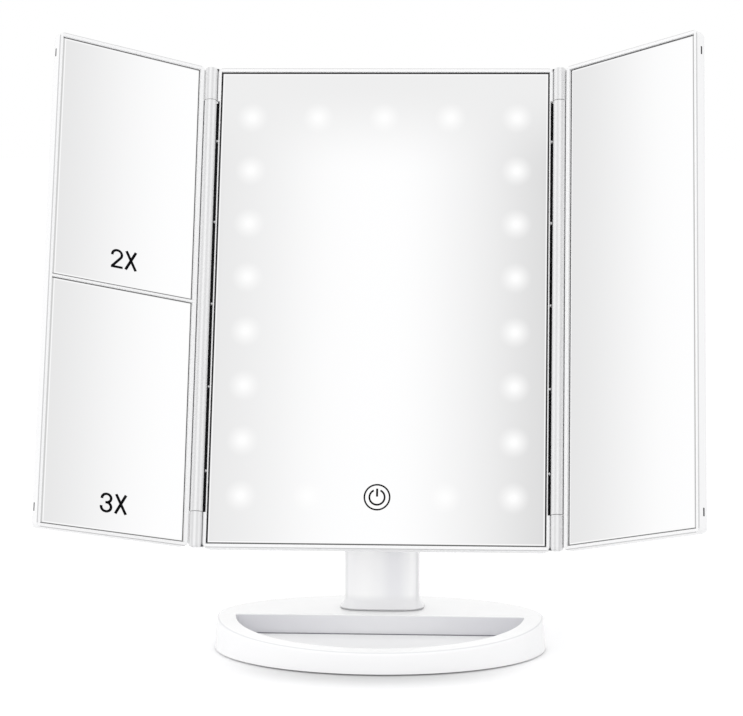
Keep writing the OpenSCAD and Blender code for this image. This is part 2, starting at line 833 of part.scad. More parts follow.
module charging_port() color("silver") on_panel() {
    translate([-land_x, spine_in - board_t, spine_z0]) {
        difference() {
            box(-port_w / 2, port_w / 2, -port_d, 0, port_set, port_len);
            box(-port_w / 2 + port_skin, port_w / 2 - port_skin, -port_d + port_skin, -port_skin,
                0, port_len - port_skin);
        }
        box(-port_tongue_w / 2, port_tongue_w / 2, -(port_d + port_skin) / 2, -(port_d - port_skin) / 2,
            3 * port_set, port_len - port_skin / 2);
    }
    intersection() {
        box(-spine_w / 2, -groove_half - wall - slip, spine_in - board_t, spine_in,
            spine_z0, spine_z0 + port_board_h);
        translate([0, 0, spine_mid]) slab(0, spine_depth)
            round_rect(spine_w - 2 * (wall + slip), spine_z1 - spine_z0 - 2 * (wall + slip), spine_r - wall);
    }
}

module switch_body() color("dimgray") on_panel() {
    slot = [stem_size[0] / 2 + slip, stem_size[1] + slip, (stem_size[2] + switch_travel) / 2 + slip];
    translate([land_x, spine_in, switch_z + switch_travel / 2]) difference() {
        box(-switch_size[0] / 2, switch_size[0] / 2, -switch_size[1], 0, -switch_size[2] / 2, switch_size[2] / 2);
        box(-slot[0], slot[0], -slot[1], past, -slot[2], slot[2]);
    }
}

module switch_knob() color("gainsboro") on_panel() {
    translate([land_x, spine_in, switch_z]) {
        box(-stem_size[0] / 2, stem_size[0] / 2, -stem_size[1], 0.5, -stem_size[2] / 2, stem_size[2] / 2);
        difference() {
            box(-knob_w / 2, knob_w / 2, 0.2, wall + knob_rise, -knob_h / 2, knob_h / 2);
            for (i = [-1:1])
                translate([0, wall, i * 1.4])
                    box(-knob_w, knob_w, 0.6, 2 * knob_rise, -0.3, 0.3);
        }
    }
}

// ---- tilt hinge ----

module tilt_axle() color("silver") on_panel() at_pivot() {
    seat = ear_out - head_well;
    bar_x(-seat - head_h, -seat, head_r);
    bar_x(-seat - head_h + eps, seat + head_h, axle_r);
}

module tilt_nut() color("silver") on_panel() at_pivot() {
    difference() {
        translate([ear_out - head_well, 0, 0]) rotate([0, 90, 0]) cylinder(h = head_h - 0.2, r = nut_r, $fn = 6);
        bar_x(0, ear_out + past, axle_r);
    }
}

module tilt_washers() color("gray") on_panel() at_pivot() {
    for (s = [-1, 1])
        difference() {
            bar_x(s > 0 ? ear_in - washer_t : -ear_in, s > 0 ? ear_in : -ear_in + washer_t, ear_r - washer_set);
            bar_x(-ear_out, ear_out, axle_r + axle_clear);
        }
}

module tilt_caps() color("white") on_panel() at_pivot() {
    for (s = [-1, 1]) mirror([s > 0 ? 0 : 1, 0, 0]) {
        bar_x(ear_out, ear_out + cap_t, cap_r);
        difference() {
            bar_x(ear_out - spigot_len, ear_out + eps, well_r - screw_fit);
            bar_x(ear_out - past, ear_out + past, well_r - screw_fit - spigot_t);
        }
    }
}

// ---- wings ----

module wing_outline(inset = 0) {
    w = wing_out - wing_in;
    translate([wing_in + w / 2, mid_z]) round_rect(w - 2 * inset, frame_h - 2 * inset, corner_r - min(inset, 1.5));
}

// The glass openings of a wing: one, or two with the divider bar between them
module wing_openings(split, grow) {
    spans = split ? [[0, split_low], [split_high, glass_h]] : [[0, glass_h]];
    for (z = spans)
        translate([wing_glass_in - grow, z[0] - grow])
            square([wing_glass_out - wing_glass_in + 2 * grow, z[1] - z[0] + 2 * grow]);
}

module wing_frame(side, fold, split) {
    on_wing(side, fold) difference() {
        union() {
            slab(-bezel_rise, wing_frame_depth) wing_outline();
            translate([0, -axis_rise, 0]) {
                translate([0, 0, barrel_z0 + knuckle_gap / 2])
                    cylinder(h = barrel_z1 - barrel_z0 - knuckle_gap, r = barrel_r);
                box(0, wing_in + 0.5, axis_rise - bezel_rise, barrel_r,
                    barrel_z0 + knuckle_gap / 2, barrel_z1 - knuckle_gap / 2);
            }
        }
        slab(-bezel_rise - past, glass_t) wing_openings(split, glass_gap);
        slab(0, wing_frame_depth + past) wing_openings(split, -ledge / 2);
        for (z = [snap_inset, glass_h - snap_inset])
            box(wing_out - bezel, wing_out + past, snap_y, snap_y + snap_t, z - snap_len / 2, z + snap_len / 2);
        for (up = [0, 1])
            translate([0, -axis_rise, mid_z]) mirror([0, 0, 1 - up])
                translate([0, 0, mid_z - knuckle_len + bezel - pin_grip - 1])
                    cylinder(h = pin_grip + 2, r = pin_r + pin_clear);
    }
}

module wing_shell(side, fold) {
    w = wing_out - wing_in;
    on_wing(side, fold) difference() {
        translate([wing_in + w / 2, 0, mid_z])
            pillow(w, frame_h, corner_r, wing_frame_depth, wing_depth, min(back_r, wing_depth - wing_frame_depth));
        slab(wing_frame_depth - past, wing_depth - wall * 0.8) wing_outline(wing_skin);
    }
}

module wing_glass(side, fold, z0, z1) {
    on_wing(side, fold) box(wing_glass_in, wing_glass_out, 0, glass_t, z0, z1);
}

// Foam pads between a wing's glass and its shell
module glass_pads(side, fold) {
    w = wing_glass_out - wing_glass_in;
    on_wing(side, fold) for (z = [0.25, 0.75])
        translate([wing_glass_in + w / 2, 0, glass_h * z])
            slab(glass_t, wing_depth - wall * 0.8) round_rect(foam_w, foam_h, 3);
}

module left_wing_frame() color("white") wing_frame(-1, left_fold, true);
module left_wing_shell() color("white") wing_shell(-1, left_fold);
module left_mirror_2x() color("gainsboro") wing_glass(-1, left_fold, split_high, glass_h);
module left_mirror_3x() color("gainsboro") wing_glass(-1, left_fold, 0, split_low);
module left_glass_pads() color("lightgray") glass_pads(-1, left_fold);
module right_wing_frame() color("white") wing_frame(1, right_fold, false);
module right_wing_shell() color("white") wing_shell(1, right_fold);
module right_mirror() color("gainsboro") wing_glass(1, right_fold, 0, glass_h);
module right_glass_pads() color("lightgray") glass_pads(1, right_fold);

base_shell();
base_cover();
ballast_plate();
foot_pad();
base_screws();
neck_column();
neck_screws();
centre_frame();
back_cover();
centre_mirror();
light_diffuser();
led_board();
led_chips();
touch_sensor();
control_board();
battery_box();
battery_cells();
battery_contacts();
battery_door();
charging_port();
switch_body();
switch_knob();
cover_screws();
hinge_gap_strip_left();
hinge_gap_strip_right();
hinge_pins_left();
hinge_pins_right();
tilt_axle();
tilt_nut();
tilt_washers();
tilt_caps();
left_wing_frame();
left_wing_shell();
left_mirror_2x();
left_mirror_3x();
left_glass_pads();
right_wing_frame();
right_wing_shell();
right_mirror();
right_glass_pads();
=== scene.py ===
import json
from math import cos, pi, radians, sin, tan

import bmesh
import bpy
from mathutils import Matrix, Vector

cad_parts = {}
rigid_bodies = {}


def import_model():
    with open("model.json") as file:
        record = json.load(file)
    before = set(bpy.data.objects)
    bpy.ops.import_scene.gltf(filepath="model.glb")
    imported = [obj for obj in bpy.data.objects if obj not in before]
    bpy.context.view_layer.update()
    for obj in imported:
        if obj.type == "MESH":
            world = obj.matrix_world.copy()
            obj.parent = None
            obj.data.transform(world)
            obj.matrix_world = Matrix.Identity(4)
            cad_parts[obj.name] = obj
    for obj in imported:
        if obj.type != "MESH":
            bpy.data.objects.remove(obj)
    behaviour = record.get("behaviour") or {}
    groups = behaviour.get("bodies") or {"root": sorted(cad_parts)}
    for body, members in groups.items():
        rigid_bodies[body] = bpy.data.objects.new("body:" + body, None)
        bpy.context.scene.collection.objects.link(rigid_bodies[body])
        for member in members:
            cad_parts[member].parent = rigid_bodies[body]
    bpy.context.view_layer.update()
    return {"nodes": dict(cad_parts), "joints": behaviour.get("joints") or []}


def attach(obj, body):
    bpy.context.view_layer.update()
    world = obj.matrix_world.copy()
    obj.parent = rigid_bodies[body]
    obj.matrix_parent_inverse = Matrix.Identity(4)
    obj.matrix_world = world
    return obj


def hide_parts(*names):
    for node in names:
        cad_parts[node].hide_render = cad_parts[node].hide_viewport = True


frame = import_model()

# ---- camera ----
# Stands in front of the mirror, a little to its right and above the middle, and looks slightly down.
# The long lens keeps the three panels nearly free of perspective.
looks_down, looks_left = 6.212, 3.628
bpy.ops.object.camera_add(location=(0.0854, -1.4142, 0.2992),
                          rotation=(radians(90 - looks_down), 0, radians(looks_left)))
camera = bpy.context.object
camera.data.lens = 140.21
bpy.context.scene.camera = camera
bpy.context.scene.view_settings.view_transform = "Standard"


# ---- studio ----
# A white sweep: pale floor, white surroundings and one large soft lamp at the upper front left.
# Painted shadow makes the floor a little greyer in a soft oval in front of the base.
def node(tree, kind, inputs=None, **settings):
    """A shader node with its settings, and its inputs as numbers, colours or other nodes' sockets."""
    made = tree.nodes.new("ShaderNode" + kind)
    for name, value in settings.items():
        setattr(made, name, value)
    for name, value in (inputs or {}).items():
        if isinstance(value, bpy.types.NodeSocket):
            tree.links.new(value, made.inputs[name])
        else:
            made.inputs[name].default_value = value
    return made


def maths(tree, operation, first, second=0.0):
    """One sum in a shader tree."""
    return node(tree, "Math", {0: first, 1: second}, operation=operation).outputs[0]


def faded(tree, value, start, end, low=0.0, high=1.0):
    """A smooth change from low to high while the value goes from start to end."""
    return node(tree, "MapRange", {"Value": value, "From Min": start, "From Max": end, "To Min": low,
                                   "To Max": high}, interpolation_type="SMOOTHSTEP").outputs[0]


def place_on(tree, **laid):
    """The place on a piece, measured from a middle and along turned or scaled axes if they are given."""
    place = node(tree, "TexCoord").outputs["Object"]
    if laid:
        place = node(tree, "Mapping", {"Vector": place, **laid}, vector_type="TEXTURE").outputs[0]
    return place


def new_material(name, levels):
    """A material, its tree and its shader, with these plain levels on the shader's own sockets."""
    material = bpy.data.materials.new(name)
    material.use_nodes = True
    shader = material.node_tree.nodes["Principled BSDF"]
    for socket, level in levels.items():
        shader.inputs[socket].default_value = level
    return material, material.node_tree, shader


def seen_directly(tree):
    """1 for what the camera, a reflection or clear glass shows, 0 for light that falls on a surface."""
    rays = node(tree, "LightPath").outputs
    seen = maths(tree, "MAXIMUM", rays["Is Camera Ray"], rays["Is Glossy Ray"])
    return maths(tree, "MAXIMUM", seen, rays["Is Transmission Ray"])


room = bpy.data.worlds.new("white room")
room.use_nodes = True
bpy.context.scene.world = room
room_light = node(room.node_tree, "MapRange",
                  {"Value": seen_directly(room.node_tree), "To Min": 1.05, "To Max": 1.0})
background = room.node_tree.nodes["Background"]
background.inputs["Color"].default_value = (1, 1, 1, 1)
room.node_tree.links.new(room_light.outputs[0], background.inputs["Strength"])

floor_white, floor_lift, painted_shadow_share = (0.9, 0.9, 0.905, 1), 0.12, 0.64
sweep, tree, shader = new_material("white sweep", {"Roughness": 0.9, "Emission Color": (1, 1, 1, 1)})
painted_shadow = place_on(tree, Location=(0, -0.04, 0), Scale=(0.086, 0.06, 1))
painted_shadow = node(tree, "VectorMath", {0: painted_shadow}, operation="LENGTH").outputs["Value"]
painted_shadow = faded(tree, painted_shadow, 0.4, 1.0, painted_shadow_share, 1.0)
tone = node(tree, "MixRGB", {"Fac": painted_shadow, "Color1": (0, 0, 0, 1), "Color2": floor_white}).outputs[0]
tree.links.new(tone, shader.inputs["Base Color"])
lift = maths(tree, "MULTIPLY", maths(tree, "MULTIPLY", seen_directly(tree), floor_lift), painted_shadow)
tree.links.new(lift, shader.inputs["Emission Strength"])
bpy.ops.mesh.primitive_plane_add(size=12)
floor = bpy.context.object
floor.name = "floor"
floor.data.materials.append(sweep)

bpy.ops.object.light_add(type="AREA", location=(-0.9, -2.2, 1.1))
lamp = bpy.context.object
lamp.data.size = 1.4
lamp.data.energy = 8
lamp.visible_glossy = False
lamp.rotation_euler = (Vector((0, 0, 0.15)) - lamp.location).to_track_quat("-Z", "Y").to_euler()


# ---- base ----
# Oval foot of glossy white ABS, moulded in one with the dished tray in front of the neck; its top falls
# to the front. The bottom cover is screwed on from below, over the steel weight.
def new_group(name, inputs, outputs):
    """An empty shader group with its sockets: its tree, what it is given and what it puts out."""
    group = bpy.data.node_groups.new(name, "ShaderNodeTree")
    for socket, kind in inputs.items():
        group.interface.new_socket(socket, in_out="INPUT", socket_type="NodeSocket" + kind)
    for socket, kind in outputs.items():
        group.interface.new_socket(socket, in_out="OUTPUT", socket_type="NodeSocket" + kind)
    return group, group.nodes.new("NodeGroupInput").outputs, group.nodes.new("NodeGroupOutput").inputs


# Moulded surface: slow clouds in the tone, a little unevenness in the gloss and a fine skin texture
moulded_finish, given, result = new_group(
    "moulded finish",
    {"Colour": "Color", "Roughness": "Float", "Clouds": "Float", "Texture Scale": "Float"},
    {"Colour": "Color", "Roughness": "Float", "Height": "Float"})
place = place_on(moulded_finish)
clouds = node(moulded_finish, "TexNoise", {"Vector": place, "Scale": 22.0, "Detail": 2.0}).outputs["Fac"]
skin = node(moulded_finish, "TexNoise",
            {"Vector": place, "Scale": given["Texture Scale"], "Detail": 3.0}).outputs["Fac"]
tint = node(moulded_finish, "MixRGB",
            {"Fac": given["Clouds"], "Color1": given["Colour"], "Color2": clouds}, blend_type="MULTIPLY")
gloss = node(moulded_finish, "MapRange", {"Value": clouds, "To Min": -0.05, "To Max": 0.05}).outputs[0]
gloss = maths(moulded_finish, "ADD", given["Roughness"], gloss)
for socket, value in (("Colour", tint.outputs[0]), ("Roughness", gloss), ("Height", skin)):
    moulded_finish.links.new(value, result[socket])


def moulded(name, colour, roughness=0.3, clouds=0.03, texture=2600.0, depth=0.000004, levels=None):
    """A moulded or rolled surface in one colour, finished by the group above."""
    material, tree, shader = new_material(name, levels or {})
    finish = node(tree, "Group", {"Colour": (*colour, 1), "Roughness": roughness, "Clouds": clouds,
                                  "Texture Scale": texture}, node_tree=moulded_finish)
    bump = node(tree, "Bump", {"Height": finish.outputs["Height"], "Distance": depth})
    tree.links.new(finish.outputs["Colour"], shader.inputs["Base Color"])
    tree.links.new(finish.outputs["Roughness"], shader.inputs["Roughness"])
    tree.links.new(bump.outputs[0], shader.inputs["Normal"])
    return material


def steps_over(radius, count):
    """Steps (inwards, along the normal) that round a face's edge over from the side wall."""
    turn = [pi / 2 * i / count for i in range(count + 1)]
    return [(radius * (cos(a) - cos(b)), radius * (sin(b) - sin(a))) for a, b in zip(turn, turn[1:])]


def steps_in(radius):
    """Steps that round the lip of a hollow, from the flat face down into it."""
    return [(along, -inwards) for inwards, along in steps_over(radius, 3)]


def steps_foot(radius):
    """Steps from the wall of a hollow round into its floor."""
    return [(inwards, -along) for inwards, along in steps_over(radius, 3)]


def stepped(shape, face, steps):
    """Insets a face again and again, each time by (inwards, along its normal)."""
    for inwards, along in steps:
        bmesh.ops.inset_region(shape, faces=[face], thickness=inwards, depth=along,
                               use_even_offset=True, use_boundary=True)


def open_edges(shape):
    """The edges of a shape that has a hole or no bottom yet."""
    return [edge for edge in shape.edges if edge.is_boundary]


def closed_up(shape):
    """Fills the open end of a shape, turns its faces outwards and gives the new face."""
    end = bmesh.ops.contextual_create(shape, geom=open_edges(shape))["faces"][0]
    bmesh.ops.recalc_face_normals(shape, faces=shape.faces)
    return end


def lowered(shape, face, height):
    """Extrudes a face straight to a level."""
    face = bmesh.ops.extrude_discrete_faces(shape, faces=[face])["faces"][0]
    for corner in face.verts:
        corner.co.z = height
    return face


def piece_of(shape, name, material, body, plane=None):
    """Sets a bmesh in its place and makes it a piece that rides on a body."""
    if plane:
        shape.transform(plane)
    mesh = bpy.data.meshes.new(name)
    shape.to_mesh(mesh)
    shape.free()
    mesh.materials.append(material)
    piece = bpy.data.objects.new(name, mesh)
    bpy.context.scene.collection.objects.link(piece)
    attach(piece, body)
    return piece


def finished(shape, name, material, finish_slot, body, stands_for, *more_materials, plane=None):
    """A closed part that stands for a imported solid: faces outwards, shaded smooth between sharp edges."""
    if plane:
        shape.transform(plane)
    bmesh.ops.recalc_face_normals(shape, faces=shape.faces)
    if shape.calc_volume(signed=True) < 0:
        bmesh.ops.reverse_faces(shape, faces=shape.faces)
    for face in shape.faces:
        face.smooth = True
    piece = piece_of(shape, name, material, body)
    piece.data.set_sharp_from_angle(angle=radians(35))
    piece.modifiers.new("even shading", "WEIGHTED_NORMAL").keep_sharp = True
    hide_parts(stands_for)
    for more in more_materials:
        piece.data.materials.append(more)


def axes(tree, place=None):
    """The X, Y and Z of a place, or of the place on the piece."""
    return node(tree, "SeparateXYZ", {0: place_on(tree) if place is None else place}).outputs


def shaded(material, mask, colour):
    """Lays a second colour over a moulded surface where a mask in its tree is 1."""
    tree, shader = material.node_tree, material.node_tree.nodes["Principled BSDF"]
    under = shader.inputs["Base Color"].links[0].from_socket
    over = node(tree, "MixRGB", {"Fac": mask, "Color1": under, "Color2": (*colour, 1)}).outputs[0]
    tree.links.new(over, shader.inputs["Base Color"])


white_abs = moulded("glossy white plastic", (0.9, 0.9, 0.905), 0.24)

base_half_w, base_front, base_back = 0.0821, 0.066, 0.053
base_low, base_top, base_slope = 0.0008, 0.0168, tan(radians(5))
base_wall, base_taper, base_round, base_hollow = 0.0022, 0.0008, 0.002, 0.0034
tray_half_w, tray_front, tray_back, tray_floor = 0.0721, 0.058, -0.0015, 0.0069
tray_corner, tray_lip, tray_fillet = 0.0025, 0.0005, 0.0004
# The play in telling faces apart by their place, and in merging points
hair, speck = 0.00001, 0.000001

# The top is painted whiter than the wall, a painted highlight; a fine grey line runs round its edge. The tray
# is satin, with painted shade towards the front, on its upright back, and darkest where that meets the floor.
base_white = moulded("white base plastic", (0.94, 0.94, 0.945), 0.24)
tree = base_white.node_tree
spot = axes(tree)
fall = maths(tree, "MULTIPLY", maths(tree, "MINIMUM", spot[1], 0.0), base_slope)
below = maths(tree, "SUBTRACT", maths(tree, "ADD", fall, base_top), spot[2])
shaded(base_white, faded(tree, below, 0.001, 0.0001), (0.975, 0.975, 0.975))
off_line = maths(tree, "ABSOLUTE", maths(tree, "SUBTRACT", below, 0.0004))
shaded(base_white, faded(tree, off_line, 0.00035, 0.0001, 0.0, 0.6), (0.68, 0.68, 0.7))
satin_tray_with_painted_shade = moulded("satin tray plastic", (0.95, 0.95, 0.955), 0.5, 0.04, 1500.0, 0.000012)
tree = satin_tray_with_painted_shade.node_tree
spot = axes(tree)
# Painted shade: greyer towards the front, on the upright back, and darkest in the crease at the back's foot
shaded(satin_tray_with_painted_shade, faded(tree, spot[1], -0.015, -0.042), (0.87, 0.87, 0.875))
on_back = faded(tree, spot[1], tray_back - 0.0016, tray_back - 0.0012)
to_ends = faded(tree, maths(tree, "ABSOLUTE", spot[0]), 0.0, 0.07, 0.55, 1.0)
shaded(satin_tray_with_painted_shade, maths(tree, "MULTIPLY", on_back, to_ends), (0.66, 0.66, 0.69))
crease = faded(tree, spot[2], tray_floor + 0.0006, tray_floor + 0.00025)
shaded(satin_tray_with_painted_shade, maths(tree, "MULTIPLY", on_back, crease), (0.16, 0.16, 0.18))

shape = bmesh.new()
bmesh.ops.create_circle(shape, cap_ends=True, segments=144, radius=1)
for corner in shape.verts:
    corner.co.x *= base_half_w
    corner.co.y *= base_front if corner.co.y < 0 else base_back
    corner.co.z = base_low
top = shape.faces[:][0]
stepped(shape, top, [(base_taper, base_top - base_low - base_round), *steps_over(base_round, 6)])
shape.faces.remove(top)
tray_corners = bmesh.ops.create_circle(shape, cap_ends=True, segments=144, radius=1)["verts"]
tray = tray_corners[0].link_faces[0]
for corner in tray_corners:
    corner.co = (corner.co.x * tray_half_w, corner.co.y * tray_front, base_top)
tray_middle = min(tray_corners, key=lambda v: v.co.y)
bmesh.ops.bisect_plane(shape, geom=[tray, *tray.edges, *tray.verts], plane_co=(0, tray_back, 0),
                       plane_no=(0, 1, 0), clear_outer=True)
tray = tray_middle.link_faces[0]
ends = sorted(tray.verts, key=lambda v: abs(v.co.y - tray_back))[:2]
bmesh.ops.bevel(shape, geom=ends, offset=tray_corner, segments=5, profile=0.5, affect="VERTICES",
                material=-1)
tray = tray_middle.link_faces[0]
bmesh.ops.triangle_fill(shape, use_beauty=True,
                        edges=[edge for edge in open_edges(shape) if edge.verts[0].co.z > base_low])
bmesh.ops.bisect_plane(shape, geom=[*shape.verts, *shape.edges, *shape.faces],
                       plane_co=(0, 0, 0), plane_no=(0, 1, 0))
stepped(shape, tray, steps_in(tray_lip))
for corner in shape.verts:
    if corner.co.z > base_low + 0.001 and corner.co.y < 0:
        corner.co.z += base_slope * corner.co.y
rim = set(shape.faces) - {tray}
tray = lowered(shape, tray, tray_floor + tray_fillet)
stepped(shape, tray, steps_foot(tray_fillet))
for face in set(shape.faces) - rim:
    face.material_index = 1
stepped(shape, closed_up(shape), [(base_wall, 0), (0.0001, -base_hollow)])
finished(shape, "base_moulding", base_white, "white_abs", "base", "base_shell", satin_tray_with_painted_shade)

# ---- base cover, weight, pad and screws ----
# The cover of plain ABS is held by four small cross-head screws and carries a painted steel weight. A
# foam rubber pad is glued below it, so that the mirror doesn't slip.
solids = frame["nodes"]


def coat(node_name, material):
    """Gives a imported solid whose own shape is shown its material."""
    solids[node_name].data.materials.clear()
    solids[node_name].data.materials.append(material)


def bricks(spans):
    """Plain blocks as one shape, each from its x0, x1, y0, y1, z0 and z1."""
    shape = bmesh.new()
    for x0, x1, y0, y1, z0, z1 in spans:
        place = Matrix.Translation(((x0 + x1) / 2, (y0 + y1) / 2, (z0 + z1) / 2))
        size = Matrix.Diagonal((abs(x1 - x0), y1 - y0, z1 - z0, 1))
        bmesh.ops.create_cube(shape, size=1, matrix=place @ size)
    return shape


def turned(outline, steps):
    """A solid turned on a lathe, from its outline as (radius, height) with both ends on the axis."""
    shape = bmesh.new()
    points = [shape.verts.new((radius, 0, height)) for radius, height in outline]
    lines = [shape.edges.new(pair) for pair in zip(points, points[1:])]
    bmesh.ops.spin(shape, geom=[*points, *lines], cent=(0, 0, 0), axis=(0, 0, 1), angle=2 * pi,
                   steps=steps, use_merge=True)
    bmesh.ops.remove_doubles(shape, verts=shape.verts, dist=speck)
    bmesh.ops.recalc_face_normals(shape, faces=shape.faces)
    return shape


def welded(shape, other, operation="UNION"):
    """Two closed shapes made into one skin, or the second one cut out of the first."""
    parts = []
    for part in (shape, other):
        mesh = bpy.data.meshes.new("part")
        part.to_mesh(mesh)
        part.free()
        parts.append(bpy.data.objects.new("part", mesh))
        bpy.context.scene.collection.objects.link(parts[-1])
    weld = parts[0].modifiers.new("weld", "BOOLEAN")
    weld.object, weld.operation, weld.solver = parts[1], operation, "EXACT"
    done = bpy.data.meshes.new_from_object(parts[0].evaluated_get(bpy.context.evaluated_depsgraph_get()))
    skin = bmesh.new()
    skin.from_mesh(done)
    bmesh.ops.remove_doubles(skin, verts=skin.verts, dist=speck)
    for part in parts:
        bpy.data.objects.remove(part)
    return skin


def screw(head_r, head_t, shank_r, length):
    """A cross-head screw with its head's face at 0 and its tip up Z; its cross comes out raised."""
    shape = turned([(0, 0), (0.6 * head_r, 0.04 * head_r), (0.9 * head_r, 0.16 * head_r),
                    (head_r, 0.4 * head_r), (head_r, head_t), (shank_r, head_t),
                    (shank_r, length - shank_r), (0, length)], 24)
    slot_half, slot_w, slot_depth = 0.55 * head_r, 0.13 * head_r, 0.7 * head_t
    for turn in (0, 90):
        slot = bricks([(-slot_half, slot_half, -slot_w, slot_w, -head_t, slot_depth)])
        slot.transform(Matrix.Rotation(radians(turn), 4, "Z"))
        shape = welded(shape, slot, "DIFFERENCE")
    return shape


def repeated(shape, places):
    """One shape set down at each of these places, as one mesh."""
    mesh = bpy.data.meshes.new("repeated")
    shape.to_mesh(mesh)
    shape.free()
    row = bmesh.new()
    for place in places:
        known = set(row.verts)
        row.from_mesh(mesh)
        bmesh.ops.transform(row, matrix=place, verts=[v for v in row.verts if v not in known])
    return row


def metal(name, colour, roughness):
    """A bare or plated metal with the same slow unevenness."""
    return moulded(name, colour, roughness, 0.1, 1400.0, 0.000003, {"Metallic": 1})


plain_abs = moulded("plain white plastic", (0.86, 0.86, 0.855), 0.42, 0.06, 1800.0, 0.00001)
plated_steel = metal("plated steel", (0.62, 0.62, 0.64), 0.32)
coat("base_cover", plain_abs)
coat("ballast_plate", moulded("painted steel", (0.1, 0.105, 0.115), 0.5, 0.3, 900.0, 0.00003))
coat("foot_pad", moulded("foam rubber", (0.04, 0.04, 0.042), 0.85, 0.3, 1500.0, 0.0001))
coat("neck_screws", plated_steel)

base_posts = ((-0.06, 0.014), (0.06, 0.014), (-0.03, 0.038), (0.03, 0.038))
small_head_r, small_head_t, screw_sink = 0.0024, 0.0009, 0.0001
shape = repeated(screw(small_head_r, small_head_t, 0.00115, 0.0087),
                 [Matrix.Translation((x, y, base_low + screw_sink)) for x, y in base_posts])
finished(shape, "base_screws_cross_head", plated_steel, "plated_steel", "base", "base_screws")


# ---- neck ----
# Hollow white column with gently crowned faces, flared where it stands on the base and held by two
# screws from below. Its round head turns between the ears of the back cover.
neck_w, neck_d, neck_corner, neck_crown, neck_y = 0.0375, 0.0206, 0.006, 0.0013, 0.02
foot_spread, foot_height, foot_rim, foot_gap = 0.0022, 0.005, 0.0006, 0.00035
pivot = Vector(next(j["pos_m"] for j in frame["joints"] if j["name"] == "panel_tilt"))


def faces_at(shape, level):
    """The faces that lie flat at a level."""
    return [face for face in shape.faces
            if all(abs(corner.co.z - level) < speck for corner in face.verts)]


def rounded_plate(shape, w, h, corner, level, segments=8):
    """A flat rounded rectangle at a level, as one face."""
    made = bmesh.ops.create_grid(shape, x_segments=1, y_segments=1, size=0.5)["verts"]
    for point in made:
        point.co = (point.co.x * w, point.co.y * h, level)
    bmesh.ops.bevel(shape, geom=made, offset=corner, segments=segments, profile=0.5,
                    affect="VERTICES", material=-1)
    return max(faces_at(shape, level), key=lambda face: face.calc_area())


shape = bmesh.new()
plate = rounded_plate(shape, neck_w + 2 * foot_spread, neck_d + 2 * foot_spread,
                      neck_corner + foot_spread, base_top + foot_gap)
long_edges = [edge for edge in plate.edges if edge.calc_length() > 0.5 * neck_w]
bmesh.ops.subdivide_edges(shape, cuts=15, edges=long_edges)
plate = bmesh.ops.dissolve_faces(shape, faces=shape.faces[:])["region"][0]
crown_half = neck_w / 2 + foot_spread - neck_corner / 2
for corner in plate.verts:
    bow = neck_crown * max(0, 1 - (corner.co.x / crown_half) ** 2)
    corner.co.y += (bow - neck_crown) * (1 if corner.co.y > 0 else -1)
spread = [foot_spread * (1 - t / 8) ** 2 for t in range(9)]
foot_rise = (foot_height - foot_rim) / 8
stepped(shape, plate, [(0, foot_rim), *((wide - slim, foot_rise) for wide, slim in zip(spread, spread[1:]))])
plate = lowered(shape, plate, pivot.z)
head_steps = [radians(a) for a in range(0, 81, 10)]
for low, high in zip(head_steps, head_steps[1:]):
    plate = lowered(shape, plate, pivot.z + neck_d / 2 * sin(high))
    for corner in plate.verts:
        corner.co.y *= cos(high) / cos(low)
stepped(shape, closed_up(shape), [(foot_rim, 0), (hair, foot_gap)])

# Painted light and shade: the column's front is painted whiter than its back, with soft painted bands across
# it, lightest a little to the left and greyest to the right. The foot has painted shade, with a fine dark
# line of painted shade where it stands on the base.
neck_white = moulded("white neck plastic", (0.9, 0.9, 0.905), 0.24)
tree = neck_white.node_tree
spot = axes(tree)
in_front = faded(tree, spot[1], neck_y + 0.006, neck_y - 0.006)
shaded(neck_white, in_front, (0.96, 0.96, 0.965))
# Each painted band: its middle, how far it reaches, how far it is full, and its grey
neck_painted_bands = ((-0.0085, 0.008, 0.0, (1.0, 1.0, 1.0)), (0.0065, 0.0085, 0.001, (0.87, 0.87, 0.89)),
              (0.015, 0.002, 0.0, (0.99, 0.99, 0.99)), (-0.0175, 0.0012, 0.0, (0.85, 0.85, 0.86)),
              (0.0178, 0.0012, 0.0, (0.78, 0.78, 0.79)))
for middle, reach, full, grey in neck_painted_bands:
    aside = maths(tree, "ABSOLUTE", maths(tree, "SUBTRACT", spot[0], middle))
    shaded(neck_white, maths(tree, "MULTIPLY", faded(tree, aside, reach, full), in_front), grey)
# The foot's two painted shades: where each starts and is full above the base, how strong it is, and its grey
foot_painted_shades = ((0.0085, 0.004, 0.85, (0.84, 0.84, 0.85)), (0.0011, 0.0007, 0.7, (0.3, 0.3, 0.31)))
for start, end, share, grey in foot_painted_shades:
    shaded(neck_white, faded(tree, spot[2], base_top + start, base_top + end, 0.0, share), grey)
finished(shape, "neck_moulding", neck_white, "white_abs", "base", "neck_column",
         plane=Matrix.Translation((0, neck_y, 0)))

# ---- centre frame ----
# Thin white frame whose ledge carries the centre glass. Each side has a channel that the wing's barrel
# turns in, with small ribs across it, and a round knuckle at either end that holds the hinge pin.
joints = {joint["name"]: joint for joint in frame["joints"]}
glass_w, glass_h, glass_back = 0.1645, 0.24, 0.0015
bezel, bezel_front, bezel_round, glass_gap, ledge = 0.002, 0.0012, 0.0004, 0.00015, 0.004
frame_w, frame_corner, frame_back = glass_w + 2 * bezel, 0.0025, 0.004
barrel_r, barrel_round, knuckle_round, axis_rise, hinge_out = 0.00315, 0.00015, 0.0015, 0.0016, 0.0875
barrel_low, barrel_high, knuckle_gap = 0.0153, 0.2247, 0.0003
channel, rib_pitch, rib_half, rib_set, rib_front = 0.00125, 0.042, 0.00045, 0.0002, 0.0003

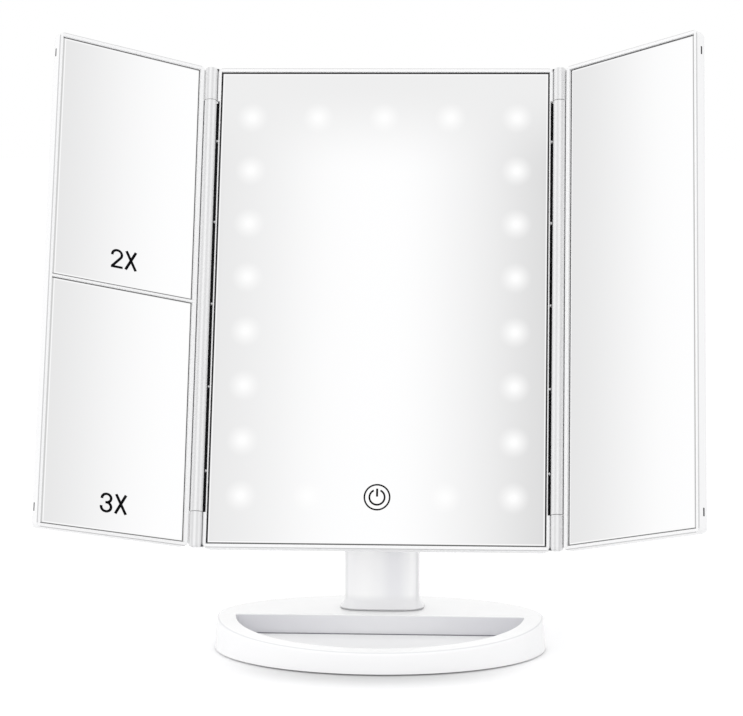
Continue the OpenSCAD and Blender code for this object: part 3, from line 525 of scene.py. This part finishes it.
# A plane of the tilting panel: X across, Y up the glass from its bottom edge, Z out of its face
lean = Matrix.Rotation(radians(joints["panel_tilt"]["range_deg"][0]), 4, "X")
hinge_foot = Vector(joints["right_wing_hinge"]["pos_m"])
glass_foot = hinge_foot + lean @ Vector((-hinge_out, axis_rise, 0))
panel_plane = Matrix.Translation(glass_foot) @ lean @ Matrix.Rotation(radians(90), 4, "X")


def panel_edge(shape, x0, x1, z0, z1, back):
    """The rounded slab of a frame: its face at the front, with the outer edge rounded over."""
    plate = rounded_plate(shape, x1 - x0, z1 - z0, frame_corner, back, 5)
    middle = Vector(((x0 + x1) / 2, (z0 + z1) / 2, 0))
    for point in plate.verts:
        point.co += middle
    stepped(shape, plate, [(0, bezel_front - back - bezel_round), *steps_over(bezel_round, 3)])
    closed_up(shape)


def glass_seat(shape, x0, x1, z0, z1, back, shelf):
    """Cuts the seat of a glass into the front face and opens it through, with a shelf all round."""
    front, lip = bezel_front, 0.0002
    x0, x1, z0, z1 = x0 - glass_gap, x1 + glass_gap, z0 - glass_gap, z1 + glass_gap
    for at, way in (((x0 - lip, 0, 0), (1, 0, 0)), ((x1 + lip, 0, 0), (1, 0, 0)),
                    ((0, z0 - lip, 0), (0, 1, 0)), ((0, z1 + lip, 0), (0, 1, 0))):
        parts = {part for face in faces_at(shape, front) for part in (face, *face.edges, *face.verts)}
        bmesh.ops.bisect_plane(shape, geom=list(parts), plane_co=at, plane_no=way)
    middle = Vector(((x0 + x1) / 2, (z0 + z1) / 2, front))
    face = min(faces_at(shape, front), key=lambda face: (face.calc_center_bounds() - middle).length)
    stepped(shape, face, [*steps_in(lip), (2 * hair, lip - front - glass_back), (shelf, 0),
                           (2 * hair, back + glass_back)])
    shape.faces.remove(face)


def opened_back(shape, back):
    """The back face of a frame, filled between its outline and its openings."""
    shape.faces.remove(faces_at(shape, back)[0])
    bmesh.ops.triangle_fill(shape, use_beauty=True, edges=open_edges(shape))


def cut_across(shape, heights):
    """Cuts a frame across at these heights up the glass."""
    for height in heights:
        bmesh.ops.bisect_plane(shape, geom=[*shape.verts, *shape.edges, *shape.faces],
                               plane_co=(0, height, 0), plane_no=(0, 1, 0))


frame_white = moulded("white frame plastic", (0.88, 0.88, 0.885), 0.24)
shape = bmesh.new()
panel_edge(shape, -frame_w / 2, frame_w / 2, -bezel, glass_h + bezel, -frame_back)
glass_seat(shape, -glass_w / 2, glass_w / 2, 0, glass_h, -frame_back, ledge)
opened_back(shape, -frame_back)
cut_across(shape, [level + side * hair for level in (barrel_low, barrel_high) for side in (-1, 1)])
for point in shape.verts:
    if abs(point.co.x) > frame_w / 2 - bezel_round - hair and barrel_low < point.co.y < barrel_high:
        point.co.x -= channel * (1 if point.co.x > 0 else -1)
rib_foot = 0.0003
ribs = bricks([(side * (frame_w / 2 - channel - rib_foot), side * (frame_w / 2 - rib_set),
                rib - rib_half, rib + rib_half, -frame_back + 10 * hair, rib_front)
               for side in (-1, 1) for rib in (glass_h / 2 + i * rib_pitch for i in range(-2, 3))])
shape = welded(shape, ribs)


def pin_barrel(length, near_round):
    """A round barrel along Z from 0 to its length, with both ends' edges rounded over."""
    shape = bmesh.new()
    bmesh.ops.create_circle(shape, cap_ends=True, segments=48, radius=barrel_r,
                            matrix=Matrix.Translation((0, 0, near_round)))
    far = shape.faces[:][0]
    stepped(shape, far, [(0, length - near_round - barrel_round), *steps_over(barrel_round, 5)])
    stepped(shape, closed_up(shape), steps_over(near_round, 2))
    return shape


link_in, link_back, link_root, edge_in, wing_side, level_face = (
    0.0003, 0.0001, 0.0005, 0.0004, 0.0029, 0.98)


def numbered(shape, axis_x, x0, x1):
    """Gives a frame's faces their painted shade: 1 the barrels, 2 the seams, 3 the edge and ribs, 4 the
    narrow gaps.
    """
    channel_wall = frame_w / 2 - channel
    seams = set(faces_at(shape, bezel_front - link_in))
    for face in shape.faces:
        from_pin = max(Vector((abs(v.co.x) - axis_x, v.co.z - axis_rise)).length for v in face.verts)
        across = [abs(v.co.x) for v in face.verts]
        middle = face.calc_center_median()
        from_side = min(middle.x - x0, x1 - middle.x, middle.y + bezel, glass_h + bezel - middle.y)
        at_rim = from_side < edge_in and middle.z > bezel_front - edge_in and face.normal.z < level_face
        at_wing = axis_x and middle.z > axis_rise and abs(middle.x) > axis_x + wing_side
        at_knuckle = not axis_x and middle.x < x0 + edge_in and not barrel_low < middle.y < barrel_high
        on_rib = (axis_x and min(across) > channel_wall - hair
                  and channel_wall + hair < max(across) < frame_w / 2 - rib_set + hair)
        if from_pin < barrel_r + hair:
            face.material_index = 4 if at_wing else 1
        elif face in seams:
            face.material_index = 2
        elif at_rim and at_knuckle:
            face.material_index = 4
        elif at_rim or on_rib:
            face.material_index = 3


upwards, downwards = Matrix.Rotation(radians(-90), 4, "X"), Matrix.Rotation(radians(90), 4, "X")
for side in (-1, 1):
    for foot, way in ((-bezel, upwards), (glass_h + bezel, downwards)):
        length = barrel_low + bezel - knuckle_gap / 2
        knuckle = pin_barrel(length, knuckle_round)
        knuckle.transform(Matrix.Translation((side * hinge_out, foot, axis_rise)) @ way)
        shape = welded(shape, knuckle)
        middle, half = foot + length / 2 * (1 if foot < 0 else -1), length / 2 - link_in
        link = (side * (frame_w / 2 - link_root), side * hinge_out, middle - half, middle + half,
                axis_rise - barrel_r + link_back, bezel_front - link_in)
        shape = welded(shape, bricks([link]))
numbered(shape, hinge_out, -frame_w / 2, frame_w / 2)

# The barrels are painted a little greyer than the frames, with faint light and dark bands along them: painted
# shading of their round sides
shade_band_pitch, shade_band_out = 0.0022, 0.0001
barrel_painted_shading = moulded("white barrel plastic, painted shading", (0.67, 0.67, 0.675), 0.24)
tree = barrel_painted_shading.node_tree
spot = axes(tree)
shade_band = maths(tree, "SUBTRACT", maths(tree, "ABSOLUTE", spot[0]), hinge_out + shade_band_out)
shade_band = maths(tree, "COSINE", maths(tree, "MULTIPLY", shade_band, 2 * pi / shade_band_pitch))
shaded(barrel_painted_shading, faded(tree, shade_band, -1.0, 1.0), (0.81, 0.81, 0.815))
# Painted shade, grey to dark where shade falls: the seams, the rounded edges and ribs, and the narrow gaps
seam_grey = moulded("seam shade", (0.06, 0.06, 0.065), 0.7)
edge_painted_shade = moulded("frame edge painted shade", (0.56, 0.56, 0.565), 0.3)
gap_grey = moulded("narrow gap shade", (0.17, 0.17, 0.175), 0.5)
frame_finishes = (barrel_painted_shading, seam_grey, edge_painted_shade, gap_grey)
finished(shape, "centre_frame_moulding", frame_white, "white_abs", "panel", "centre_frame",
         *frame_finishes, plane=panel_plane)

# ---- side gap strips and hinge pins ----
# A black strip lies behind the gap on either side of the centre frame: a dark part that stands in for the
# shade there. Plated steel pins, pressed into the knuckles, run into the long barrels.
black_plastic_and_gap_shade = moulded("matt black plastic", (0.006, 0.006, 0.007), 0.6,
                      levels={"Specular IOR Level": 0.1})
for side in ("left", "right"):
    coat("hinge_gap_strip_" + side, black_plastic_and_gap_shade)
    coat("hinge_pins_" + side, plated_steel)

# ---- centre glass ----
# Flat silvered glass, edged with a dark line that is partly its backing paint and partly painted shade. Its
# silver is painted a little darker towards its sides and its top, a painted reflection of the room.
glass_border, given, result = new_group(
    "glass border",
    {"Place": "Vector", "Half Width": "Float", "Half Height": "Float", "Left": "Float", "Right": "Float",
     "Bottom": "Float", "Top": "Float", "Line Left": "Float", "Line Right": "Float", "Line Bottom": "Float",
     "Line Top": "Float", "Silver": "Color"},
    {"Colour": "Color"})
place, silver = axes(glass_border, given["Place"]), given["Silver"]
borders = (("Half Width", "ADD", 0, "Left"), ("Half Width", "SUBTRACT", 0, "Right"),
           ("Half Height", "ADD", 2, "Bottom"), ("Half Height", "SUBTRACT", 2, "Top"))
# First a painted light band inside each edge, a painted reflection, and then the edge's own dark line
for start, end, tone in ((0.0009, 0.0003, None), (0.00008, -0.00008, "Line ")):
    for half, way, axis, edge in borders:
        inside = maths(glass_border, way, given[half], place[axis])
        inside = maths(glass_border, "SUBTRACT", inside, given[edge])
        over = given[tone + edge] if tone else (0.97, 0.97, 0.975, 1)
        silver = node(glass_border, "MixRGB", {"Fac": faded(glass_border, inside, start, end),
                                               "Color1": silver, "Color2": over}).outputs[0]
glass_border.links.new(silver, result["Colour"])


def silvered(name, turn, middle, width, height, tones, lines, line_tones, top_painted_reflection=None):
    """The face of a glass: painted reflection tones across it, and its lines at the left, right, bottom and
    top.
    """
    material, tree, shader = new_material(name, {"Metallic": 1, "Roughness": 0.015})
    place = place_on(tree, Location=middle, Rotation=turn)
    spot = axes(tree, place)
    share = node(tree, "MapRange", {"Value": spot[0], "From Min": -width / 2, "From Max": width / 2})
    across = node(tree, "ValToRGB", {0: share.outputs[0]})
    across.color_ramp.interpolation = "B_SPLINE"
    for where, grey in tones[2:]:
        across.color_ramp.elements.new(where)
    for stop, (where, grey) in zip(across.color_ramp.elements, tones):
        stop.position = where
        stop.color = (grey, grey, grey * 1.004, 1)
    tone = across.outputs[0]
    if top_painted_reflection:
        near_top = faded(tree, spot[2], height / 2 - top_start, height / 2 - top_end)
        tone = node(tree, "MixRGB", {"Fac": near_top, "Color1": tone, "Color2": (*top_painted_reflection, 1)}).outputs[0]
    facts = {"Place": place, "Half Width": width / 2, "Half Height": height / 2, "Silver": tone}
    for (_, _, _, edge), line, line_tone in zip(borders, lines, line_tones):
        facts[edge], facts["Line " + edge] = line, line_tone
    face = node(tree, "Group", facts, node_tree=glass_border)
    tree.links.new(face.outputs["Colour"], shader.inputs["Base Color"])
    return material


centre_painted_reflection = ((0.02, 0.81), (0.2, 0.91), (0.34, 0.99), (0.5, 1.0), (0.62, 0.99), (0.76, 0.89), (0.86, 0.84),
                (0.98, 0.72))
top_start, top_end, centre_line = 0.055, 0.005, 0.0007
coat("centre_mirror", silvered(
    "centre silvering", lean.to_euler(), panel_plane @ Vector((0, glass_h / 2, 0)), glass_w, glass_h,
    centre_painted_reflection, 4 * [centre_line], (0.03, 0.05, 0.14, 0.04), (0.86, 0.86, 0.862)))

# ---- lights ----
# Twenty-one lamps glow through frosted windows in the silvering: five across the top, seven down each
# side and two at the bottom. Chips on a white board shine through an opal sheet behind the glass.
lamp_x, lamp_step, lamp_low, lamp_rows = 0.06625, 0.033125, 0.02375, 8
lamp_rise = (glass_h - 2 * lamp_low) / (lamp_rows - 1)
glow_r, glow_front = 0.0082, 0.00004
lamp_places = [(step * lamp_step, glass_h - lamp_low) for step in range(-2, 3)]
lamp_places += [(side * lamp_x, lamp_low + row * lamp_rise)
                for side in (-1, 1) for row in range(lamp_rows - 1)]
lamp_places += [(side * lamp_step, lamp_low) for side in (-1, 1)]

glow, tree, shader = new_material("lamp glow", {
    "Base Color": (0, 0, 0, 1), "Roughness": 0.6, "Specular IOR Level": 0,
    "Emission Color": (1, 1, 1, 1), "Emission Strength": 1.0})
from_middle = node(tree, "VectorMath", {0: node(tree, "UVMap", uv_map="glow").outputs[0], 1: (0.5, 0.5, 0)},
                   operation="DISTANCE").outputs["Value"]
falling = node(tree, "MapRange", {"Value": from_middle, "From Min": 0.5, "From Max": 0.08}).outputs[0]
tree.links.new(maths(tree, "POWER", falling, 1.25), shader.inputs["Alpha"])

shape = bmesh.new()
round_map = shape.loops.layers.uv.new("glow")
for x, z in lamp_places:
    window = bmesh.ops.create_circle(shape, cap_ends=True, segments=32, radius=glow_r)["verts"]
    for loop in window[0].link_faces[0].loops:
        loop[round_map].uv = (loop.vert.co.x / glow_r / 2 + 0.5, loop.vert.co.y / glow_r / 2 + 0.5)
    bmesh.ops.translate(shape, verts=window, vec=(x, z, glow_front))
piece_of(shape, "lamp_glow", glow, "panel", panel_plane)

# ---- touch key ----
# The standard power sign, printed dark on the glass in a ring. Behind it a copper pad on a spring
# reaches to the control board; the key itself doesn't travel.
ink = moulded("black ink", (0.004, 0.004, 0.005), 0.6, 0.1, levels={"Specular IOR Level": 0.03})
ink_front = 0.00003
key_x, key_z, key_r, key_line = 0.00026, 0.02365, 0.00655, 0.0008
sign_r, sign_line, sign_gap, bar_w = 0.00415, 0.0009, radians(51), 0.001


def ring(shape, radius, width, opening=0.0):
    """A flat ring, or one with an opening at the top."""
    start, turn = pi / 2 + opening / 2, 2 * pi - opening
    ends = [shape.verts.new((r * cos(start), r * sin(start), 0)) for r in (radius - width, radius)]
    line = shape.edges.new(ends)
    bmesh.ops.spin(shape, geom=[*ends, line], cent=(0, 0, 0), axis=(0, 0, 1), angle=turn, steps=72,
                   use_merge=opening == 0)


shape = bmesh.new()
ring(shape, key_r, key_line)
ring(shape, sign_r, sign_line, sign_gap)
bar = bmesh.ops.create_grid(shape, x_segments=1, y_segments=1, size=0.5)["verts"]
for corner in bar:
    corner.co = (corner.co.x * bar_w, sign_r * (0.95 * corner.co.y + 0.55), 0)
bmesh.ops.translate(shape, verts=shape.verts, vec=(key_x, key_z, ink_front))
bmesh.ops.recalc_face_normals(shape, faces=shape.faces)
piece_of(shape, "power_sign", ink, "panel", panel_plane)

# ---- wing frames and shells ----
# Each wing is a thin white frame with the long hinge barrel along its inner side, and a shell that
# snaps over its back through small slots in the outer edge. The left frame has a bar across it.
wing_in, wing_out, wing_frame_back, wing_back = 0.0035, 0.087, 0.0036, 0.0065
wing_glass_in, wing_glass_out, wing_shelf = 0.006, 0.085, 0.002
split_low, split_high = 0.1193, 0.1207
wing_skin, wing_round, shell_in = 0.0012, wing_back - wing_frame_back, 0.0003
snap_half, snap_in, snap_top, snap_low, snap_deep = 0.002, 0.0078, -0.0019, -0.0029, 0.0012

wing_planes, wing_turns = {}, {}
for side, name in ((-1, "left"), (1, "right")):
    hinge = joints[name + "_wing_hinge"]
    fold = Matrix.Rotation(side * radians(hinge["range_deg"][0]), 4, "Z")
    wing_plane = (Matrix.Translation(Vector(hinge["pos_m"])) @ lean @ fold
                  @ Matrix.Translation((0, axis_rise, 0)) @ Matrix.Rotation(radians(90), 4, "X")
                  @ Matrix.Diagonal((side, 1, 1, 1)))
    wing_planes[side], wing_turns[side] = wing_plane, lean @ fold
    shape = bmesh.new()
    panel_edge(shape, wing_in, wing_out, -bezel, glass_h + bezel, -wing_frame_back)
    for low, high in ((0, split_low), (split_high, glass_h)) if side < 0 else ((0, glass_h),):
        glass_seat(shape, wing_glass_in, wing_glass_out, low, high, -wing_frame_back, wing_shelf)
    opened_back(shape, -wing_frame_back)
    cut_across(shape, [barrel_low, barrel_high])
    barrel = pin_barrel(barrel_high - barrel_low - knuckle_gap, barrel_round)
    barrel.transform(Matrix.Translation((0, barrel_low + knuckle_gap / 2, axis_rise)) @ upwards)
    link = (0, wing_in + link_root, barrel_low + link_in, barrel_high - link_in,
            axis_rise - barrel_r + link_back, bezel_front - link_in)
    shape = welded(welded(shape, barrel), bricks([link]))
    snaps = (snap_in, glass_h - snap_in)
    slots = bricks([(wing_out - snap_deep, wing_out + 0.001, snap - snap_half, snap + snap_half,
                     snap_low, snap_top) for snap in snaps])
    shape = welded(shape, slots, "DIFFERENCE")
    numbered(shape, 0, wing_in, wing_out)
    # The insides of the snap slots take the narrow gap's painted shade
    for face in shape.faces:
        x, y, z = face.calc_center_median()
        in_wall = wing_out - snap_deep - 10 * hair < x < wing_out - hair
        if in_wall and snap_low - hair < z < snap_top + hair and (
                min(abs(y - snap) for snap in snaps) < snap_half + hair):
            face.material_index = 4
    finished(shape, name + "_wing_frame_moulding", frame_white, "white_abs", name + "_wing",
             name + "_wing_frame", *frame_finishes, plane=wing_plane)

    shape = bmesh.new()
    plate = rounded_plate(shape, wing_out - wing_in, glass_h + 2 * bezel, frame_corner, 0)
    rounding = [(0.7 * inwards, along) for inwards, along in steps_over(wing_round, 6)]
    stepped(shape, plate, [(shell_in, hair), *rounding])
    stepped(shape, closed_up(shape), [(wing_skin, 0), (5 * hair, -wing_skin)])
    turned_back = (Matrix.Translation(((wing_in + wing_out) / 2, glass_h / 2, -wing_frame_back))
                   @ Matrix.Rotation(radians(180), 4, "Y"))
    finished(shape, name + "_wing_shell_moulding", frame_white, "white_abs", name + "_wing",
             name + "_wing_shell", plane=wing_plane @ turned_back)

# ---- wing glasses ----
# Plain glass in the right wing; in the left wing a mildly and a more strongly magnifying one, marked with
# their power in dark print.
# Painted reflection across each wing glass: where each tone sits from left to right, and its grey
wing_painted_reflection = {-1: ((0.0, 0.79), (0.25, 0.86), (0.48, 0.93), (0.75, 0.99), (1.0, 1.0)),
              1: ((0.0, 0.79), (0.25, 0.84), (0.5, 0.92), (0.72, 0.98), (1.0, 1.0))}
# At the outer side and the bottom the frame stands in front of the glass, so the line is wider there
near_hinge, near_outside, near_bottom, near_top = 0.0005, 0.0014, 0.0006, 0.0005
glasses = {"left_mirror_2x": (-1, split_high, glass_h), "left_mirror_3x": (-1, 0, split_low),
           "right_mirror": (1, 0, glass_h)}
for name, (side, low, high) in glasses.items():
    middle = wing_planes[side] @ Vector(((wing_glass_in + wing_glass_out) / 2, (low + high) / 2, 0))
    sides = (near_outside, near_hinge) if side < 0 else (near_hinge, near_outside)
    # Each line's grey at the left, right, bottom and top: partly the backing's dark edge and partly painted
    # shade, darkest by the hinge
    side_tones = (0.62, 0.12) if side < 0 else (0.1, 0.5)
    coat(name, silvered(name.replace("_", " ") + " silvering", wing_turns[side].to_euler(), middle,
                        wing_glass_out - wing_glass_in, high - low, wing_painted_reflection[side],
                        (*sides, near_bottom, near_top), (*side_tones, 0.22, 0.14)))


def pen(shape, start, heading, moves, width=1.15):
    """A flat stroke of even width: each move is (length, 0) straight on or (radius, angle) round a bend."""
    at, heading = Vector((*start, 0)), radians(heading)
    aside = Vector((-sin(heading), cos(heading), 0))
    ends = [shape.verts.new(at + way * width / 2 * aside) for way in (-1, 1)]
    tip = shape.edges.new(ends)
    for size, turn in moves:
        if turn:
            centre = at + aside * size * (1 if turn > 0 else -1)
            made = bmesh.ops.spin(shape, geom=[*tip.verts, tip], cent=centre, axis=(0, 0, 1),
                                  angle=radians(turn), steps=abs(turn) // 8)["geom_last"]
            at = centre + Matrix.Rotation(radians(turn), 4, "Z") @ (at - centre)
            heading += radians(turn)
            aside = Vector((-sin(heading), cos(heading), 0))
            tip = next(part for part in made if isinstance(part, bmesh.types.BMEdge))
        else:
            step = size * Vector((cos(heading), sin(heading), 0))
            made = bmesh.ops.extrude_edge_only(shape, edges=[tip])["geom"]
            points = [part for part in made if isinstance(part, bmesh.types.BMVert)]
            bmesh.ops.translate(shape, verts=points, vec=step)
            at += step
            tip = shape.edges.get(points)


# Each character as strokes (start, heading, moves) in a box of this width and height
box_w, box_h = 5.4, 9.1
characters = {
    "2": (((0.6, 6.1), 90, ((0.3, 0), (2.12, -220), (5.6, 0))), ((0.2, 0.575), 0, ((5.2, 0),))),
    "3": (((0.8, 6.3), 90, ((0.3, 0), (1.92, -270), (0.45, 0))), ((2.65, 4.7), 0, ((2.08, -270), (0.45, 0)))),
    "X": (((0.6, 0.1), 65.5, ((9.8, 0),)), ((4.8, 0.1), 114.5, ((9.8, 0),))),
}
# The two characters of each mark: which, and their left, right, bottom and top on the wing
marks = (("2", 0.0528, 0.0459, 0.1296, 0.1391), ("X", 0.0451, 0.0377, 0.1296, 0.1391),
         ("3", 0.0530, 0.0459, 0.0092, 0.0188), ("X", 0.0452, 0.0377, 0.0092, 0.0188))
for number, (sign, left, right, low, high) in enumerate(marks, 1):
    shape = bmesh.new()
    for start, heading, moves in characters[sign]:
        pen(shape, start, heading, moves)
    for corner in shape.verts:
        corner.co = (left + (right - left) * corner.co.x / box_w,
                     low + (high - low) * corner.co.y / box_h, ink_front)
    piece_of(shape, "power_mark_%d" % number, ink, "left_wing", wing_planes[-1])

# ---- wing pads ----
# Pads of closed-cell foam, glued between the glasses and the shells. They press the glasses against
# their frames and keep them from rattling.
foam = moulded("closed-cell foam", (0.6, 0.6, 0.59), 0.9, 0.3, 1200.0, 0.0001)
for side in ("left", "right"):
    coat(side + "_glass_pads", foam)

# ---- light board and sheet ----
# Chips with phosphor under clear resin are soldered to the front of a white board. An opal sheet
# between them and the glass spreads their light.
coat("light_diffuser", moulded("opal sheet", (0.9, 0.9, 0.87), 0.4, 0.04))
coat("led_board", moulded("white solder mask", (0.82, 0.82, 0.8), 0.35, 0.08, 700.0, 0.00001))
coat("led_chips", moulded("phosphor resin", (0.9, 0.78, 0.32), 0.2, 0.15))

# ---- touch pad and control board ----
# A copper pad is pressed to the back of the glass by its spring. The spring stands on a small green
# board, which four posts of the back cover carry.
coat("touch_sensor", metal("bare copper", (0.86, 0.45, 0.26), 0.3))
coat("control_board", moulded("green solder mask", (0.03, 0.2, 0.07), 0.3, 0.2, 700.0, 0.00001))

# ---- back cover ----
# Moulded in one from white ABS: the flat back, the raised housing with the groove that the neck runs in,
# the two ears of the tilt hinge and the battery door's grooves. Six cross-head screws hold it.
def carried(node_name, name, material, finish_slot, body):
    """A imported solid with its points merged, shown as a piece."""
    shape = bmesh.new()
    shape.from_mesh(solids[node_name].data)
    bmesh.ops.remove_doubles(shape, verts=shape.verts, dist=2 * speck)
    finished(shape, name, material, finish_slot, body, node_name)


cover_depth, cover_sink = 0.009, 0.0012
carried("back_cover", "back_cover_moulding", white_abs, "white_abs", "panel")
screw_x, screw_rises = glass_w / 2 - ledge - 0.0007, (0.008, glass_h / 2, glass_h - 0.008)
shape = repeated(screw(small_head_r, small_head_t, 0.00085, 0.0052),
                 [Matrix.Translation((side * screw_x, rise, cover_sink - cover_depth - small_head_t))
                  for side in (-1, 1) for rise in screw_rises])
finished(shape, "cover_screws_cross_head", plated_steel, "plated_steel", "panel", "cover_screws",
         plane=panel_plane)

# ---- battery bay ----
# A plain white box in the back cover holds four cells between nickel-plated spring contacts. Its door,
# with a ribbed thumb grip, slides up and off.
cell_middle, cell_half = 0.1625, 0.0205
coat("battery_box", plain_abs)
coat("battery_contacts", metal("nickel plate", (0.7, 0.68, 0.64), 0.25))
carried("battery_door", "battery_door_moulding", white_abs, "white_abs", "battery_door")

wrap = moulded("cell sleeve", (0.42, 0.27, 0.05), 0.3, 0.15, 900.0, 0.000003)
tree, shader = wrap.node_tree, wrap.node_tree.nodes["Principled BSDF"]
bay_turn = (panel_plane @ Matrix.Rotation(radians(-90), 4, "X")).to_euler()
along = axes(tree, place_on(tree, Location=panel_plane @ Vector((0, cell_middle, 0)), Rotation=bay_turn))[2]
on_can = faded(tree, maths(tree, "ABSOLUTE", along), cell_half, cell_half + 0.0002)
shaded(wrap, on_can, (0.7, 0.7, 0.7))
tree.links.new(on_can, shader.inputs["Metallic"])
coat("battery_cells", wrap)

# ---- charging port and slide switch ----
# A folded steel inlet shell on its own small board, and a switch of black plastic whose grooved knob
# comes out through a slot in the back.
coat("charging_port", plated_steel)
coat("switch_body", black_plastic_and_gap_shade)
carried("switch_knob", "switch_knob_grooved", moulded("grey plastic", (0.2, 0.2, 0.205), 0.4, 0.1),
        "grey_plastic", "switch_knob")

# ---- tilt hinge ----
# A steel axle through the ears and the neck's head, drawn up by a nut against two nylon washers, whose
# friction holds the panel at any angle. A push-in cap of white ABS covers either end.
for name in ("tilt_axle", "tilt_nut"):
    coat(name, plated_steel)
coat("tilt_washers", moulded("nylon", (0.5, 0.5, 0.49), 0.5, 0.1))
ear_out, cap_r, cap_t, spigot_r, spigot_in, spigot_t = 0.0254, 0.0064, 0.0011, 0.00495, 0.0041, 0.0006
outline = [(0, cap_t), (0.5 * cap_r, cap_t - 0.00005), (cap_r - 0.0008, cap_t - 0.0002)]
outline += [(cap_r - 0.0006 * (1 - sin(a)), cap_t - 0.00025 - 0.0005 * (1 - cos(a)))
            for a in (radians(t) for t in range(15, 91, 15))]
outline += [(cap_r, 0), (spigot_r, 0), (spigot_r, -spigot_t), (spigot_in, -spigot_t), (spigot_in, 0), (0, 0)]
shape = repeated(turned(outline, 48), [Matrix.Translation((side * ear_out, pivot.y, pivot.z))
                         @ Matrix.Rotation(side * radians(90), 4, "Y") for side in (-1, 1)])
finished(shape, "tilt_caps_domed", white_abs, "white_abs", "panel", "tilt_caps")

# ---- reflections ----
# The right glass would show the left wing at this angle. The glasses are to show the white room alone,
# so the left wing and its marks are kept out of reflections.
for piece in bpy.data.objects:
    if piece.name.startswith(("left_", "power_mark")):
        piece.visible_glossy = False
